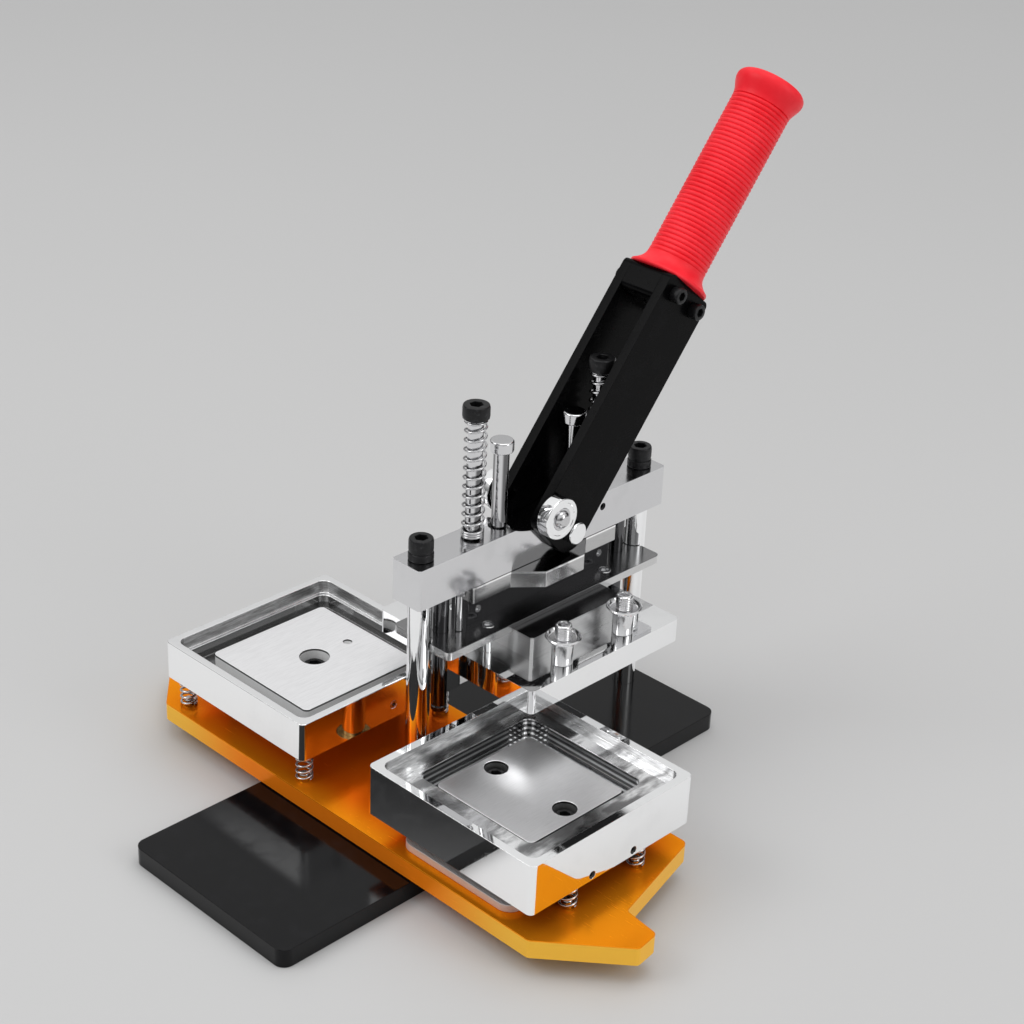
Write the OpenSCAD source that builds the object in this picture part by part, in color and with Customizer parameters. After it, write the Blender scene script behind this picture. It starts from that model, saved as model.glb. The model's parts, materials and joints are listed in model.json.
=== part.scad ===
// Hand press for square fridge magnets: a turning plate carries two sprung dies under a lever press.
// The frame's origin is where the plate's turning axis meets the underside of the base plate.
// X runs along the die plate, Y along the base plate and the beam, and Z points up.

/* [Base and columns] */
// Width of the base plate
base_width = 113; // [105:1:130]
// Length of the base plate
base_length = 306; // [300:1:330]
// Thickness of the base plate
base_thickness = 10; // [9:0.5:14]
// Corner radius of the base plate
base_corner = 6; // [2:0.5:12]
// Distance from the front end of the base plate to the turning axis
base_front = 135; // [130:1:140]
// Diameter of the two columns
column_d = 12; // [11:0.5:13]
// Distance between the two columns
column_spacing = 158; // [156:0.5:162]
// Height of the columns above the base plate
column_height = 110.5; // [110:0.5:120]
// Depth of the sockets that the columns stand in
column_socket = 6; // [3:0.5:7]
// Diameter of the cap screws' shanks
column_screw_d = 8; // [6:0.5:8]
// Length of the cap screws' thread inside the columns
column_screw_reach = 14; // [8:1:20]
// Diameter of the collars under the cap screws
column_collar_d = 12.8; // [11:0.1:14]
// Height of the collars under the cap screws
column_collar_h = 4.4; // [3:0.1:7]
// Diameter of the cap screws' heads
column_head_d = 12.4; // [11:0.1:14]
// Height of the cap screws' heads
column_head_h = 7.2; // [5:0.1:9]

/* [Beam] */
// Width of the beam
beam_width = 20; // [19:0.5:20.5]
// Height of the beam
beam_height = 22; // [21:0.5:24]
// Length of the beam past each column
beam_overhang = 10; // [8:0.5:14]
// Chamfer of the beam's upright edges
beam_chamfer = 1.2; // [0.4:0.1:2]
// Place of the scoop in the beam's top, from the turning axis
scoop_place = 76; // [74:0.5:78]
// Length of the scoop
scoop_length = 42; // [36:0.5:44]
// Depth of the scoop
scoop_depth = 4.5; // [2:0.25:5]
// Place of the small set screw in the beam's side, from the turning axis
beam_screw_place = 119.5; // [116:0.5:122]
// Depth of the small set screw below the beam's top
beam_screw_drop = 8; // [6:0.5:10]

/* [Die plate] */
// Width of the die plate
plate_width = 112; // [110:1:114]
// Thickness of the die plate
plate_thickness = 10; // [9:0.5:12]
// Thickness of the thrust washer below the die plate
thrust_washer_h = 0.8; // [0.5:0.1:1.5]
// Diameter of the thrust washer
thrust_washer_d = 28; // [22:1:34]
// Outer diameter of the turning bush
pivot_bush_d = 18; // [16:0.5:22]
// Reach of the plate's square corners from the turning axis
plate_square_reach = 134; // [132:1:134]
// Reach of the plate's tip from the turning axis
plate_tip_reach = 172.3; // [168:0.5:176]
// Distance of the tip's front corner ahead of the centre line
plate_tip_front = 22.8; // [18:0.5:26]
// Distance of the tip's rear corner ahead of the centre line
plate_tip_rear = 9; // [8:0.5:12]
// Reach of the tip's rear corner from the turning axis
plate_tip_rear_reach = 170.5; // [166:0.5:175]
// Reach of the notch's inner corner from the turning axis
plate_notch_reach = 149.9; // [147:0.1:150.5]

/* [Dies] */
// Distance of each die's centre from the turning axis
die_pitch = 79; // [78:0.5:81]
// Side of the square collars and of the upper die
die_side = 110; // [106:0.5:111]
// Radius of the collars' upright edges
die_corner = 3; // [1:0.5:5]
// Width of the collars' rims
rim_width = 4.4; // [3:0.1:6]
// Corner radius inside the collars' rims
rim_corner = 5; // [3:0.5:8]

/* [First die] */
// Height of the gap between the die plate and the first collar
gap_a = 16.6; // [15:0.1:18]
// Height of the first collar
collar_a_h = 21.4; // [20:0.1:23]
// Depth of the first collar's ledge below its rim
ledge_a_depth = 7.3; // [5:0.1:7.5]
// Width of the first collar's ledge
ledge_a_width = 2.2; // [1.5:0.1:4]
// Side of the first insert
insert_a_side = 75.2; // [72:0.2:80]
// Thickness of the first insert
insert_a_h = 8; // [7:0.5:9]
// Depth of the first insert's top below the rim
insert_a_depth = 6.8; // [6:0.1:7.2]
// Side of the first core's pillar
pillar_a_side = 66; // [60:1:68]
// Diameter of the first insert's middle hole
insert_a_hole_d = 16; // [14.5:0.5:18]
// Diameter of the first insert's small hole
insert_a_vent_d = 5; // [3:0.5:6]
// Distance of the small hole from the insert's middle
insert_a_vent_place = 23; // [18:0.5:28]
// Inset of the first die's springs from the collar's sides
spring_a_inset = 8; // [7:0.5:9]

/* [Second die] */
// Height of the gap between the die plate and the second collar
gap_b = 12.4; // [12:0.1:13]
// Height of the second collar
collar_b_h = 27; // [26:0.1:27]
// Depth of the second collar's ledge below its rim
ledge_b_depth = 4.6; // [3:0.1:6]
// Side of the opening inside the second collar's ledge
opening_b_side = 76.4; // [72:0.2:84]
// Side of the second insert
insert_b_side = 64; // [62:0.5:68]
// Thickness of the second insert
insert_b_h = 8; // [7:0.5:9]
// Depth of the second insert's top below the rim
insert_b_depth = 10.2; // [9.5:0.1:10.5]
// Side of the second core's pillar
pillar_b_side = 56; // [52:1:58]
// Diameter of the second insert's two holes
insert_b_hole_d = 12; // [11:0.5:13]
// Distance between the second insert's two holes
insert_b_hole_spacing = 46; // [42:1:48]
// Length of the second core's foot
foot_b_length = 100; // [96:1:102]
// Width of the second core's foot
foot_b_width = 75; // [70:1:77]
// Thickness of the second core's foot
foot_b_h = 4; // [3:0.25:4.4]
// Distance of the second die's springs from its middle, along X
spring_b_x = 49; // [47:0.5:50]
// Distance of the second die's springs from its middle, along Y
spring_b_y = 23.5; // [20:0.5:30]

/* [Press] */
// Height of the upper die's underside above the second collar's rim
press_gap = 8.8; // [8.8:0.1:9.2]
// Thickness of the upper die
upper_die_h = 13; // [12:0.5:13]
// Side of the hollow in the upper die's underside
hollow_side = 80; // [78:1:84]
// Depth of the hollow in the upper die's underside
hollow_depth = 5; // [3:0.5:6]
// Side of the block on the upper die
block_side = 67; // [62:1:68]
// Chamfer of the block's upright edges
block_chamfer = 1.2; // [0.4:0.2:3]
// Height of the block up to the guide plate
block_h = 10.7; // [10:0.1:11.5]
// Depth of the guide plate's channel in the block
channel_depth = 2; // [1:0.1:3]
// Width of the guide plate
guide_plate_width = 40; // [36:0.5:42]
// Thickness of the guide plate
guide_plate_h = 4.5; // [4:0.1:5]
// Width of the ram block
ram_block_width = 12; // [12:0.5:14]
// Length of the ram block
ram_block_length = 104; // [103:1:105]
// Width of the yoke
yoke_width = 20; // [18:0.5:20]
// Thickness of the yoke
yoke_h = 9; // [8:0.25:9.5]
// Width of the yoke over its two shoulders
yoke_full_width = 43; // [41:0.5:44]
// Distance of the shoulders' slanted ends from the turning axis
shoulder_start = 53; // [50:0.5:56]
// Distance along the beam that a slanted end takes
shoulder_slant = 13.5; // [11:0.5:15]
// Length of the shoulders' straight sides
shoulder_length = 28; // [26:0.5:30]

/* [Rods and pins] */
// Diameter of the sliding rods and pins
rod_d = 8; // [7:0.25:8]
// Distance of the two return rods from the press's middle
return_rod_place = 44.5; // [43:0.25:45]
// Height of the return rods' heads above the beam
return_rod_rise = 64.5; // [61:0.5:67]
// Diameter of the return rods' heads
return_head_d = 13.6; // [13:0.1:14.4]
// Height of the return rods' heads
return_head_h = 7; // [6:0.5:9]
// Distance of the two guide pins from the press's middle
guide_pin_place = 26; // [25.5:0.25:28]
// Height of the guide pins' heads above the beam
guide_pin_rise = 41; // [38:0.5:44]
// Diameter of the guide pins' heads
guide_head_d = 12.2; // [11:0.1:13]
// Height of the guide pins' heads
guide_head_h = 6.2; // [5:0.2:7]
// Distance of the guide rods from the columns
guide_rod_place = 14.5; // [13.5:0.25:15]
// Height of the front guide rod's end above the base plate
guide_rod_drop = 41; // [38:1:44]
// Height of the rear guide rod's end above the base plate
rear_guide_rod_drop = 54; // [52.5:0.5:60]
// Outer diameter of the bushes in the beam
beam_bush_d = 11; // [10:0.5:12]
// Height of the four bushes on the upper die
die_bush_h = 12.4; // [11:0.2:14]
// Diameter of the four bushes on the upper die
die_bush_d = 11; // [10:0.5:12]
// Diameter of the dished washers
dished_washer_d = 18.6; // [16:0.2:19]
// Distance of the bushes from the press's middle, along X
die_bush_x = 44.2; // [44:0.2:45.4]
// Distance of the bushes from the press's middle, along Y
die_bush_y = 22.5; // [20:0.5:26]

/* [Springs] */
// Wire of the return springs
return_wire = 1.2; // [1:0.1:1.4]
// Outer diameter of the return springs
return_spring_d = 11.8; // [11.4:0.1:12.6]
// Turns of a return spring
return_turns = 15; // [12:1:16]
// Wire of the die springs
die_wire = 1.3; // [1.1:0.1:1.4]
// Outer diameter of the die springs
die_spring_d = 9.2; // [8.6:0.1:9.6]
// Turns of a spring under the first die
die_a_turns = 3.5; // [3:0.5:4]
// Turns of a spring under the second die
die_b_turns = 3; // [2:0.5:3]

/* [Lever] */
// Backward lean of the lever at rest, in degrees
lever_lean = 39.3; // [36:0.1:42]
// Distance of the fulcrum from the turning axis
fulcrum_place = 89; // [88:0.5:90]
// Height of the fulcrum above the beam's underside
fulcrum_height = 13; // [12.8:0.1:13.2]
// Diameter of the fulcrum pin
fulcrum_d = 8; // [7:0.25:8]
// Diameter of the fulcrum pin's head
fulcrum_head_d = 12; // [10:0.5:13]
// Length of the fulcrum pin's head
fulcrum_head_h = 5.2; // [3:0.2:6]
// Gap between the fork's two plates
fork_gap = 21; // [20.8:0.1:22]
// Thickness of the fork's plates
fork_thickness = 5.5; // [5:0.25:6]
// Depth of the fork's plates in front of the fulcrum
fork_front = 27; // [25:0.5:29]
// Depth of the fork's plates behind the fulcrum
fork_rear = 12; // [11:0.25:12.4]
// Length of the fork's plates past the fulcrum
fork_length = 136.5; // [130:0.5:145]
// Radius of the fork's front lower corner
fork_corner = 6; // [4:0.5:6]
// Drop of the fork's front lower corner below the fulcrum
fork_heel = 9; // [8:0.25:9.5]
// Reach of the rollers from the fulcrum
roller_reach = 22.1; // [21.5:0.1:22.5]
// Offset of the rollers along the lever
roller_offset = 1.3; // [1:0.1:1.6]
// Diameter of the rollers
roller_d = 22; // [21:0.5:22]
// Width of the rollers
roller_width = 7; // [6:0.5:8]
// Length of the lever block
lever_block_h = 15.5; // [12:0.5:18]

/* [Grip] */
// Length of the grip
grip_length = 116; // [100:1:130]
// Diameter of the grip's core under the ribs
grip_d = 30.6; // [28:0.2:34]
// Height of a rib on the grip
grip_rib = 0.8; // [0.4:0.1:1.2]
// Diameter of the flange at the grip's lower end
grip_flange_d = 43.5; // [38:0.5:46]
// Diameter of the flange at the grip's upper end
grip_knob_d = 38; // [35:0.5:42]
// Number of ribs on the grip
grip_ribs = 37; // [20:1:40]
// Diameter of the steel rod inside the grip
grip_rod_d = 16; // [12:0.5:20]

/* [Fits] */
// Radial clearance of what turns or slides on a shaft
running_fit = 0.05; // [0.02:0.01:0.1]
// Radial clearance of what is pressed or screwed in
press_fit = 0.02; // [0.01:0.01:0.04]
// Gap between pieces that move past each other
slide_gap = 0.3; // [0.2:0.05:0.4]

/* [Hidden] */

// Overrun of a cut past the face that it opens
cut = 1;
// Segments of a full circle, and of a corner that a polygon rounds
$fn = 64;
corner_steps = 6;

// Heights of the stack, from the base plate up
base_top = base_thickness;
plate_bottom = base_top + thrust_washer_h;
plate_top = plate_bottom + plate_thickness;
collar_a_bottom = plate_top + gap_a;
collar_a_top = collar_a_bottom + collar_a_h;
insert_a_top = collar_a_top - insert_a_depth;
insert_a_bottom = insert_a_top - insert_a_h;
collar_b_bottom = plate_top + gap_b;
collar_b_top = collar_b_bottom + collar_b_h;
insert_b_top = collar_b_top - insert_b_depth;
insert_b_bottom = insert_b_top - insert_b_h;
upper_die_bottom = collar_b_top + press_gap;
upper_die_top = upper_die_bottom + upper_die_h;
guide_plate_bottom = upper_die_top + block_h;
guide_plate_top = guide_plate_bottom + guide_plate_h;
beam_bottom = base_top + column_height;
beam_top = beam_bottom + beam_height;
yoke_top = beam_bottom - slide_gap;
yoke_bottom = yoke_top - yoke_h;
press_centre = column_spacing / 2;

// Places of the rods and pins along the beam
return_rod_ys = [press_centre - return_rod_place, press_centre + return_rod_place];
guide_pin_ys = [press_centre - guide_pin_place, press_centre + guide_pin_place];
guide_rod_ys = [guide_rod_place, column_spacing - guide_rod_place];
column_ys = [0, column_spacing];

// Outline of the die plate's tips
plate_corner_r = 4;
plate_tip_r = 3;
// Share of the plate's half width at which the notch's slanted edge ends
notch_edge_share = 0.98;
// Gap between the notch's edge and the column that it swings against
notch_gap = 0.4;

// Screws, pegs and small holes of the dies
set_screw_d = 4;
set_screw_h = 5;
set_screw_sunk = 0.8;
beam_screw_h = (beam_width - beam_bush_d) / 2 - set_screw_sunk - slide_gap;
insert_screw_d = 8;
insert_screw_head_d = 13;
insert_screw_head_h = 8;
insert_screw_sunk = 4.5;
insert_pair_screw_d = 6;
insert_pair_head_d = 10;
insert_pair_head_h = 6;
insert_pair_sunk = 3.5;
plate_thread_reach = 8;
vent_depth = 5;
peg_d = 5;
peg_h = 3.6;
peg_root = 5;
foot_corner = 8;
set_screw_a_place = 6;
set_screw_a_drop = 13;
set_screw_b_spacing = 28.5;
set_screw_b_rise = 3;
edge_bevel = 0.6;

// Screws, standoffs and channels of the press
die_screw_spacing = 46;
die_screw_d = 6;
die_screw_head_d = 11;
die_screw_head_h = 3;
die_screw_reach = 8;
channel_gap = 0.1;
plate_screw_x = 12;
plate_screw_y = 43;
plate_screw_d = 3;
plate_screw_head_d = 7;
plate_screw_head_h = 2;
plate_screw_reach = 6;
standoff_d = 4.6;
notch_clearance = 0.6;
guide_plate_overlap = 1;
rod_reach = 10;
bush_screw_d = 5;
bush_screw_head_d = 8.8;
bush_screw_head_h = 8;
bush_screw_reach = 8;
washer_h = 1.4;
washer_dish = 1.6;
head_thread_d = 5;
// Share of a return rod head's height that the rod's thread takes
head_thread_share = 0.4;
head_thread_reach = return_head_h * head_thread_share;
yoke_corner = 2.5;
// Share of the washer's radius that lies flat
washer_flat_share = 0.72;
ram_screw_rise = 7;

// Guide rods, stop screw and set screw of the beam
guide_rod_root = 12;
guide_ring_h = 3;
guide_ring_groove = 0.6;
stop_screw_x = 6;
stop_screw_y = 21;
stop_screw_d = 4;
stop_screw_root = 8;
stop_nut_d = 7;
stop_nut_h = 3;
stop_rest_gap = 0.3;

// Fulcrum, rollers and screws of the lever
pin_clip_d = 12;
pin_clip_h = 1.2;
pin_clip_inset = 1.4;
fork_top_r = 3;
spacer_h = 1.5;
spacer_d = 12;
bearing_core_d = 16.6;
bearing_shield_sunk = 0.5;
bearing_inner_d = 12;
roller_screw_d = 6;
roller_shoulder_d = 8;
roller_screw_head_d = 9.4;
roller_screw_head_h = 2.8;
roller_screw_end_gap = 0.5;
block_screw_d = 5;
block_screw_head_d = 8.5;
block_screw_head_h = 5;
block_screw_spread = 10;
block_screw_reach = 6;
grip_screw_d = 6;
grip_screw_head_d = 10;
grip_screw_head_h = 6;
grip_screw_reach = 20;
grip_end_wall = 12;
grip_bore_depth = grip_length - grip_end_wall;
axis_front = (fork_front - fork_rear) / 2;
fork_inner = fork_gap / 2;
fork_outer = fork_inner + fork_thickness;
roller_inner = fork_outer + spacer_h;
roller_outer = roller_inner + roller_width;
fulcrum_z = beam_bottom + fulcrum_height;

// Shares of a socket head that its hexagon takes across and in depth
hex_share = 0.6;
hex_depth_share = 0.5;
head_bevel_share = 0.08;

// Outline of the grip, as shares of its length
grip_flange_share = 0.022;
grip_flare_share = 0.085;
grip_knob_flare_share = 0.905;
grip_knob_share = 0.955;
grip_round_share = 0.985;
// Share of the knob's radius that its flat end takes
grip_end_share = 0.9;
flare_steps = 8;
// Share of a rib's pitch that each of its slopes takes
rib_rise_share = 0.3;

// Rings of a spring's turn, sides of its wire and steps of its bent ends
turn_rings = 8;
wire_sides = 6;
bend_steps = 3;
// Radius of a spring end's bend, as a share of the wire
bend_share = 1.1;

module chrome() color([0.86, 0.87, 0.88]) children();
module steel() color([0.62, 0.63, 0.65]) children();
module dark_steel() color([0.16, 0.16, 0.17]) children();
module black_paint() color([0.07, 0.07, 0.08]) children();
module orange() color([0.93, 0.55, 0.1]) children();
module brass() color([0.78, 0.62, 0.3]) children();

// A rectangle round its middle with true arcs at its corners
module rounded_rectangle(width, length, radius) {
    square([width - 2 * radius, length], center = true);
    square([width, length - 2 * radius], center = true);
    for (sx = [-1, 1], sy = [-1, 1])
        translate([sx * (width / 2 - radius), sy * (length / 2 - radius)])
            circle(radius);
}

// A rectangle round its middle with cut corners
module chamfered_rectangle(width, length, chamfer) {
    x = width / 2;
    y = length / 2;
    polygon([
        [x - chamfer, -y], [x, chamfer - y], [x, y - chamfer], [x - chamfer, y],
        [chamfer - x, y], [-x, y - chamfer], [-x, chamfer - y], [chamfer - x, -y]
    ]);
}

// A round bar along Z with bevelled ends
module bevelled_bar(diameter, height, bevel) {
    radius = diameter / 2;
    rotate_extrude()
        polygon([
            [0, 0], [radius - bevel, 0], [radius, bevel],
            [radius, height - bevel], [radius - bevel, height], [0, height]
        ]);
}

// A tube along Z
module tube(outer_d, bore_d, height) {
    difference() {
        cylinder(d = outer_d, h = height);
        translate([0, 0, -cut])
            cylinder(d = bore_d, h = height + 2 * cut);
    }
}

// A socket head on its seat, with its hexagon open upward
module socket_head(diameter, height) {
    difference() {
        bevelled_bar(diameter, height, diameter * head_bevel_share);
        translate([0, 0, height * (1 - hex_depth_share)])
            cylinder(d = diameter * hex_share, h = height, $fn = 6);
    }
}

// A socket screw whose head stands on Z zero and whose shank hangs below
module socket_screw(head_d, head_h, shank_d, shank_l) {
    socket_head(head_d, head_h);
    translate([0, 0, -shank_l])
        cylinder(d = shank_d, h = shank_l + head_h * (1 - hex_depth_share) / 2);
}

// A small set screw along Z with its top on Z zero
module set_screw(diameter, height) {
    difference() {
        translate([0, 0, -height])
            cylinder(d = diameter, h = height);
        translate([0, 0, -height * hex_depth_share])
            cylinder(d = diameter * hex_share, h = height, $fn = 6);
    }
}

// Turns what points along Z so that it points along X
module along_x() rotate([0, 90, 0]) children();

// Places its children at the middle of the first or the second die
module at_die_a() translate([-die_pitch, 0, 0]) children();
module at_die_b() translate([die_pitch, 0, 0]) children();

// Places its children at the middle of the press
module at_press() translate([0, press_centre, 0]) children();

// Places its children at each of four places round the middle
module at_four(x, y) {
    for (sx = [-1, 1], sy = [-1, 1])
        translate([sx * x, sy * y, 0])
            children();
}

// The lever's own frame: X runs up the lever from the fulcrum, Y to its front and Z along the pin
module at_lever()
    translate([0, fulcrum_place, fulcrum_z])
        rotate([90 - lever_lean, 0, 0])
            rotate([90, 0, 90])
                children();

// Places its children at the rollers' axle in the lever's frame
module at_roller() at_lever() translate([roller_offset, roller_reach, 0]) children();

// Points of the arc that rounds the corner b between a and c; each point is [x, y, radius]
function unit(v) = v / norm(v);
function flat(p) = [p.x, p.y];
function corner_arc(a, b, c) =
    let (
        u = unit(flat(a) - flat(b)),
        w = unit(flat(c) - flat(b)),
        half = acos(u * w) / 2,
        centre = flat(b) + unit(u + w) * b.z / sin(half),
        from = flat(b) + u * b.z / tan(half) - centre,
        to = flat(b) + w * b.z / tan(half) - centre,
        start = atan2(from.y, from.x),
        turn = atan2(from.x * to.y - from.y * to.x, from * to)
    )
    [
        for (k = [0:corner_steps])
            let (at = start + turn * k / corner_steps)
            centre + b.z * [cos(at), sin(at)]
    ];
function rounded_outline(points) =
    let (n = len(points))
    [for (i = [0:n - 1]) each corner_arc(points[(i + n - 1) % n], points[i], points[(i + 1) % n])];

module base_plate() black_paint() {
    difference() {
        translate([0, base_length / 2 - base_front, 0])
            linear_extrude(base_thickness)
                rounded_rectangle(base_width, base_length, base_corner);
        for (y = column_ys)
            translate([0, y, base_thickness - column_socket])
                cylinder(d = column_d + 2 * press_fit, h = column_socket + cut);
    }
}

// A column stands in its socket and takes its cap screw's thread at the top
module column(y) {
    length = column_socket + column_height;
    translate([0, y, base_top - column_socket])
        difference() {
            bevelled_bar(column_d, length, edge_bevel);
            translate([0, 0, length - column_screw_reach - cut])
                cylinder(d = column_screw_d + 2 * press_fit, h = column_screw_reach + 2 * cut);
        }
}

module near_column() chrome() column(0);
module far_column() chrome() column(column_spacing);

module thrust_washer() brass()
    translate([0, 0, base_top])
        tube(thrust_washer_d, column_d + 4 * running_fit, thrust_washer_h - running_fit);

module beam() chrome() {
    scoop_radius = (scoop_length * scoop_length / 4 + scoop_depth * scoop_depth) / (2 * scoop_depth);
    difference() {
        translate([0, press_centre, beam_bottom])
            linear_extrude(beam_height)
                chamfered_rectangle(beam_width, column_spacing + 2 * beam_overhang, beam_chamfer);
        translate([-beam_width / 2 - cut, scoop_place, beam_top - scoop_depth + scoop_radius])
            along_x()
                cylinder(r = scoop_radius, h = beam_width + 2 * cut, $fn = 4 * $fn);
        for (y = column_ys)
            translate([0, y, beam_bottom - cut])
                cylinder(d = column_screw_d + 2 * press_fit, h = beam_height + 2 * cut);
        for (y = concat(return_rod_ys, guide_pin_ys))
            translate([0, y, beam_bottom - cut])
                cylinder(d = beam_bush_d + 2 * press_fit, h = beam_height + 2 * cut);
        for (y = guide_rod_ys)
            translate([0, y, beam_bottom - cut])
                cylinder(d = rod_d + 2 * press_fit, h = guide_rod_root + cut);
        translate([stop_screw_x, stop_screw_y, beam_bottom - cut])
            cylinder(d = stop_screw_d + 2 * press_fit, h = stop_screw_root + cut);
        translate([-beam_width / 2 - cut, fulcrum_place, fulcrum_z])
            along_x()
                cylinder(d = fulcrum_d + 2 * press_fit, h = beam_width + 2 * cut);
        translate([beam_width / 2 - beam_screw_h - set_screw_sunk, beam_screw_place,
                beam_top - beam_screw_drop])
            along_x()
                cylinder(d = set_screw_d + 2 * press_fit, h = beam_screw_h + set_screw_sunk + cut);
    }
}

module beam_bushes() brass()
    for (y = concat(return_rod_ys, guide_pin_ys))
        translate([0, y, beam_bottom])
            tube(beam_bush_d, rod_d + 2 * running_fit, beam_height - scoop_depth / 2);

module beam_set_screw() dark_steel()
    translate([beam_width / 2 - set_screw_sunk, beam_screw_place, beam_top - beam_screw_drop])
        along_x()
            set_screw(set_screw_d, beam_screw_h);

module column_collars() black_paint()
    for (y = column_ys)
        translate([0, y, beam_top])
            difference() {
                bevelled_bar(column_collar_d, column_collar_h, edge_bevel);
                translate([0, 0, -cut])
                    cylinder(d = column_screw_d + 2 * press_fit, h = column_collar_h + 2 * cut);
            }

module column_cap_screws() black_paint()
    for (y = column_ys)
        translate([0, y, beam_top + column_collar_h])
            socket_screw(column_head_d, column_head_h, column_screw_d,
                column_collar_h + beam_height + column_screw_reach - cut);

// A guide rod hangs from the beam, with a turned groove near its lower end
module guide_rod(y, end_z) {
    radius = rod_d / 2;
    length = beam_bottom + guide_rod_root - end_z;
    translate([0, y, end_z])
        rotate_extrude()
            polygon([
                [0, 0], [radius - edge_bevel, 0], [radius, edge_bevel],
                [radius, guide_ring_h], [radius - guide_ring_groove, guide_ring_h],
                [radius - guide_ring_groove, guide_ring_h + guide_ring_groove],
                [radius, guide_ring_h + guide_ring_groove], [radius, length], [0, length]
            ]);
}

module near_guide_rod() dark_steel() guide_rod(guide_rod_ys[0], base_top + guide_rod_drop);
module far_guide_rod() dark_steel() guide_rod(guide_rod_ys[1], base_top + rear_guide_rod_drop);

// The stop screw hangs from the beam with its lock nut and meets the guide plate's top
module stop_screw() steel()
    translate([stop_screw_x, stop_screw_y, 0]) {
        low = guide_plate_top + stop_rest_gap;
        translate([0, 0, low])
            cylinder(d = stop_screw_d, h = beam_bottom + stop_screw_root - low);
        translate([0, 0, beam_bottom - stop_nut_h])
            cylinder(d = stop_nut_d, h = stop_nut_h, $fn = 6);
    }

module fulcrum_pin() chrome() {
    head_start = fork_outer + slide_gap;
    shank_end = fork_outer + slide_gap + pin_clip_h + pin_clip_inset;
    translate([0, fulcrum_place, fulcrum_z])
        along_x() {
            translate([0, 0, head_start])
                bevelled_bar(fulcrum_head_d, fulcrum_head_h, edge_bevel);
            translate([0, 0, -shank_end])
                cylinder(d = fulcrum_d, h = shank_end + head_start + fulcrum_head_h / 2);
        }
}

module fulcrum_clip() steel()
    translate([-fork_outer - slide_gap - pin_clip_h, fulcrum_place, fulcrum_z])
        along_x()
            tube(pin_clip_d, fulcrum_d + 2 * press_fit, pin_clip_h);

// Outline of the die plate: a wide body whose two tips reach the far column when it turns
module plate_outline() {
    half = plate_width / 2;
    right = [
        [plate_square_reach, -half, plate_corner_r],
        [plate_tip_reach, -plate_tip_front, plate_tip_r],
        [plate_tip_rear_reach, -plate_tip_rear, plate_tip_r],
        [plate_notch_reach, -column_d / 2 - notch_gap, plate_tip_r],
        [plate_square_reach, half * notch_edge_share, plate_corner_r]
    ];
    corners = concat(right, [for (i = [len(right) - 1:-1:0]) [-right[i].x, right[i].y, right[i].z]]);
    polygon(rounded_outline(corners));
}

module die_plate() orange()
    difference() {
        translate([0, 0, plate_bottom])
            linear_extrude(plate_thickness)
                plate_outline();
        translate([0, 0, plate_bottom - cut])
            cylinder(d = pivot_bush_d + 2 * press_fit, h = plate_thickness + 2 * cut);
        at_die_a() {
            translate([0, 0, plate_top - plate_thread_reach])
                cylinder(d = insert_screw_d + 2 * press_fit, h = plate_thread_reach + cut);
            at_four(die_side / 2 - spring_a_inset, die_side / 2 - spring_a_inset)
                translate([0, 0, plate_top - peg_root])
                    cylinder(d = peg_d + 2 * press_fit, h = peg_root + cut);
        }
        at_die_b() {
            for (side = [-1, 1])
                translate([side * insert_b_hole_spacing / 2, 0, plate_top - plate_thread_reach])
                    cylinder(d = insert_pair_screw_d + 2 * press_fit, h = plate_thread_reach + cut);
            at_four(spring_b_x, spring_b_y)
                translate([0, 0, plate_top - peg_root])
                    cylinder(d = peg_d + 2 * press_fit, h = peg_root + cut);
        }
    }

module pivot_bush() brass()
    translate([0, 0, plate_bottom])
        tube(pivot_bush_d, column_d + 2 * running_fit, plate_thickness);

module core_a() steel()
    at_die_a()
        difference() {
            translate([0, 0, plate_top])
                linear_extrude(insert_a_bottom - plate_top)
                    rounded_rectangle(pillar_a_side, pillar_a_side, die_corner);
            translate([0, 0, plate_top - cut])
                cylinder(d = insert_screw_d + 2 * press_fit, h = insert_a_top);
            translate([0, 0, insert_a_top - insert_screw_sunk - insert_screw_head_h])
                cylinder(d = insert_a_hole_d, h = insert_a_h + insert_screw_head_h);
        }

module insert_a() chrome()
    at_die_a()
        difference() {
            translate([0, 0, insert_a_bottom])
                linear_extrude(insert_a_h)
                    rounded_rectangle(insert_a_side, insert_a_side, die_corner);
            translate([0, 0, insert_a_bottom - cut])
                cylinder(d = insert_a_hole_d, h = insert_a_h + 2 * cut);
            translate([0, insert_a_vent_place, insert_a_top - vent_depth])
                cylinder(d = insert_a_vent_d, h = vent_depth + cut);
        }

module insert_a_screw() dark_steel()
    at_die_a()
        translate([0, 0, insert_a_top - insert_screw_sunk - insert_screw_head_h])
            socket_screw(insert_screw_head_d, insert_screw_head_h, insert_screw_d,
                insert_a_top - insert_screw_sunk - insert_screw_head_h - plate_top + plate_thread_reach);

module core_b() steel()
    at_die_b()
        difference() {
            union() {
                translate([0, 0, plate_top])
                    linear_extrude(insert_b_bottom - plate_top)
                        rounded_rectangle(pillar_b_side, pillar_b_side, die_corner);
                translate([0, 0, plate_top])
                    linear_extrude(foot_b_h)
                        rounded_rectangle(foot_b_width, foot_b_length, foot_corner);
            }
            for (side = [-1, 1])
                translate([side * insert_b_hole_spacing / 2, 0, plate_top - cut]) {
                    cylinder(d = insert_pair_screw_d + 2 * press_fit, h = insert_b_top);
                    translate([0, 0, insert_b_top - insert_pair_sunk - insert_pair_head_h - plate_top + cut])
                        cylinder(d = insert_b_hole_d, h = insert_b_h + insert_pair_head_h);
                }
        }

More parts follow.
